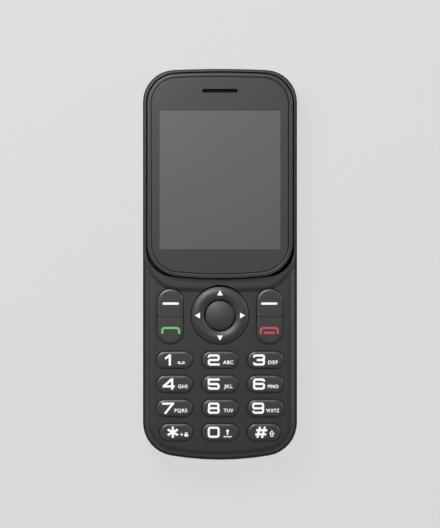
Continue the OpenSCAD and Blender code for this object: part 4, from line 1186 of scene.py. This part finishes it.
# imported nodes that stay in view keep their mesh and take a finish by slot

slotFinish = {"shell_plastic": "shell", "window_gloss": "border", "key_plastic": "key", "screen": "panel"}
nodeFinish = {"rear_housing": "band", "earpiece_mesh": "mesh", "speaker_mesh": "mesh"}


def dressNodes():
    slots = {p["node"]: p["material_slot"] for p in frame["record"]["subparts"]}
    for name, obj in frame["nodes"].items():
        pick = nodeFinish.get(name) or slotFinish.get(slots[name], slots[name])
        obj.data.materials.clear()
        obj.data.materials.append(finish[pick])
        softenNode(obj)


dressNodes()
print("packed nodes dressed")


# floor, light and camera

studio = {
    "floor": (0.686, 0.701, 0.693), "floorGlow": 0.93, "floorShade": 0.08, "floorSize": 6.0,
    "floorDrop": 0.0002, "camera": 2.4, "imageTall": 185.1, "plane": 8.0, "aimY": 0.12,
    # brightness of the room from straight down (0) over level (0.5) to overhead (1)
    "room": [(0.0, 0.01), (0.455, 0.01), (0.49, 1.9), (0.57, 2.2),
             (0.625, 0.2), (0.875, 0.10), (0.965, 0.25), (1.0, 0.28)],
    "backdrop": 0.95,       # what the camera sees past the floor's edge, as a share of the floor's colour
    "lightAim": (0, 0, 0.01),
}
lamps = [
    {"name": "keyLight", "at": (-0.115, 0.185, 0.27), "size": 0.19, "power": 1.5},
    {"name": "sideLight", "at": (0.36, 0.12, 0.14), "size": 0.16, "power": 0.5},
    {"name": "underLight", "at": (-0.25, -0.20, -0.50), "size": 0.45, "power": 5.0, "gloss": False},
]


def buildFloor():
    bm = bmesh.new()
    bmesh.ops.create_grid(bm, x_segments=12, y_segments=12, size=studio["floorSize"] / 2)
    obj = addObject("floor", bm)
    mat, tree, shader = newFinish("paper")
    shade = [c * studio["floorShade"] for c in studio["floor"]]
    tone = ramp(tree, noise(tree, 420, 3), [c * 0.9 for c in shade], shade)
    dial(tree, shader, {"Base Color": tone, "Roughness": 1.0, "Specular IOR Level": 0.0,
                        "Emission Color": (*studio["floor"], 1), "Emission Strength": studio["floorGlow"]})
    # seen from below the paper is clear, so the back can be looked at
    under = addNode(tree, "NewGeometry").outputs["Backfacing"]
    clear = addNode(tree, "BsdfTransparent").outputs["BSDF"]
    paper = mixShaders(tree, under, shader.outputs["BSDF"], clear)
    dial(tree, tree.nodes["Material Output"], {"Surface": paper})
    obj.data.materials.append(mat)
    obj.location.z = -studio["floorDrop"]
    obj.visible_glossy = False


def buildLight():
    for lamp in lamps:
        data = bpy.data.lights.new(lamp["name"], "AREA")
        data.shape = "DISK"
        data.size = lamp["size"]
        data.energy = lamp["power"]
        obj = addToScene(lamp["name"], data)
        obj.location = lamp["at"]
        aim = Vector(studio["lightAim"]) - Vector(lamp["at"])
        obj.rotation_euler = aim.to_track_quat("-Z", "Y").to_euler()
        obj.visible_camera = False
        obj.visible_glossy = lamp.get("gloss", True)
    world = bpy.data.worlds.new("studio")
    world.use_nodes = True
    tree = world.node_tree
    place = addNode(tree, "TexCoord").outputs["Generated"]
    height = addNode(tree, "SeparateXYZ", {"Vector": place}).outputs["Z"]
    share = addNode(tree, "MapRange", {"Value": height, "From Min": -1}).outputs["Result"]
    shade = addNode(tree, "ValToRGB", {"Fac": share})
    stops = shade.color_ramp.elements
    while len(stops) < len(studio["room"]):
        stops.new(0.5)
    for stop, (at, value) in zip(stops, studio["room"]):
        stop.position = at
        stop.color = (value, value, value, 1)
    room = tree.nodes["Background"]
    dial(tree, room, {"Color": shade.outputs["Color"]})
    seen = addNode(tree, "LightPath").outputs["Is Camera Ray"]
    backdrop = addNode(tree, "Background", {"Color": (*studio["floor"], 1), "Strength": studio["backdrop"]})
    behind = mixShaders(tree, seen, room.outputs["Background"], backdrop.outputs["Background"])
    dial(tree, tree.nodes["World Output"], {"Surface": behind})
    bpy.context.scene.world = world


def buildCamera():
    data = bpy.data.cameras.new("camera")
    data.sensor_width = 36
    data.lens = 36 * studio["camera"] / mm / studio["imageTall"]
    data.clip_end = 20
    obj = addToScene("camera", data)
    obj.location = (0, studio["aimY"] * mm, studio["camera"] + studio["plane"] * mm)
    bpy.context.scene.camera = obj


buildFloor()
buildLight()
buildCamera()
bpy.context.scene.view_settings.view_transform = "Standard"
print("studio ready")
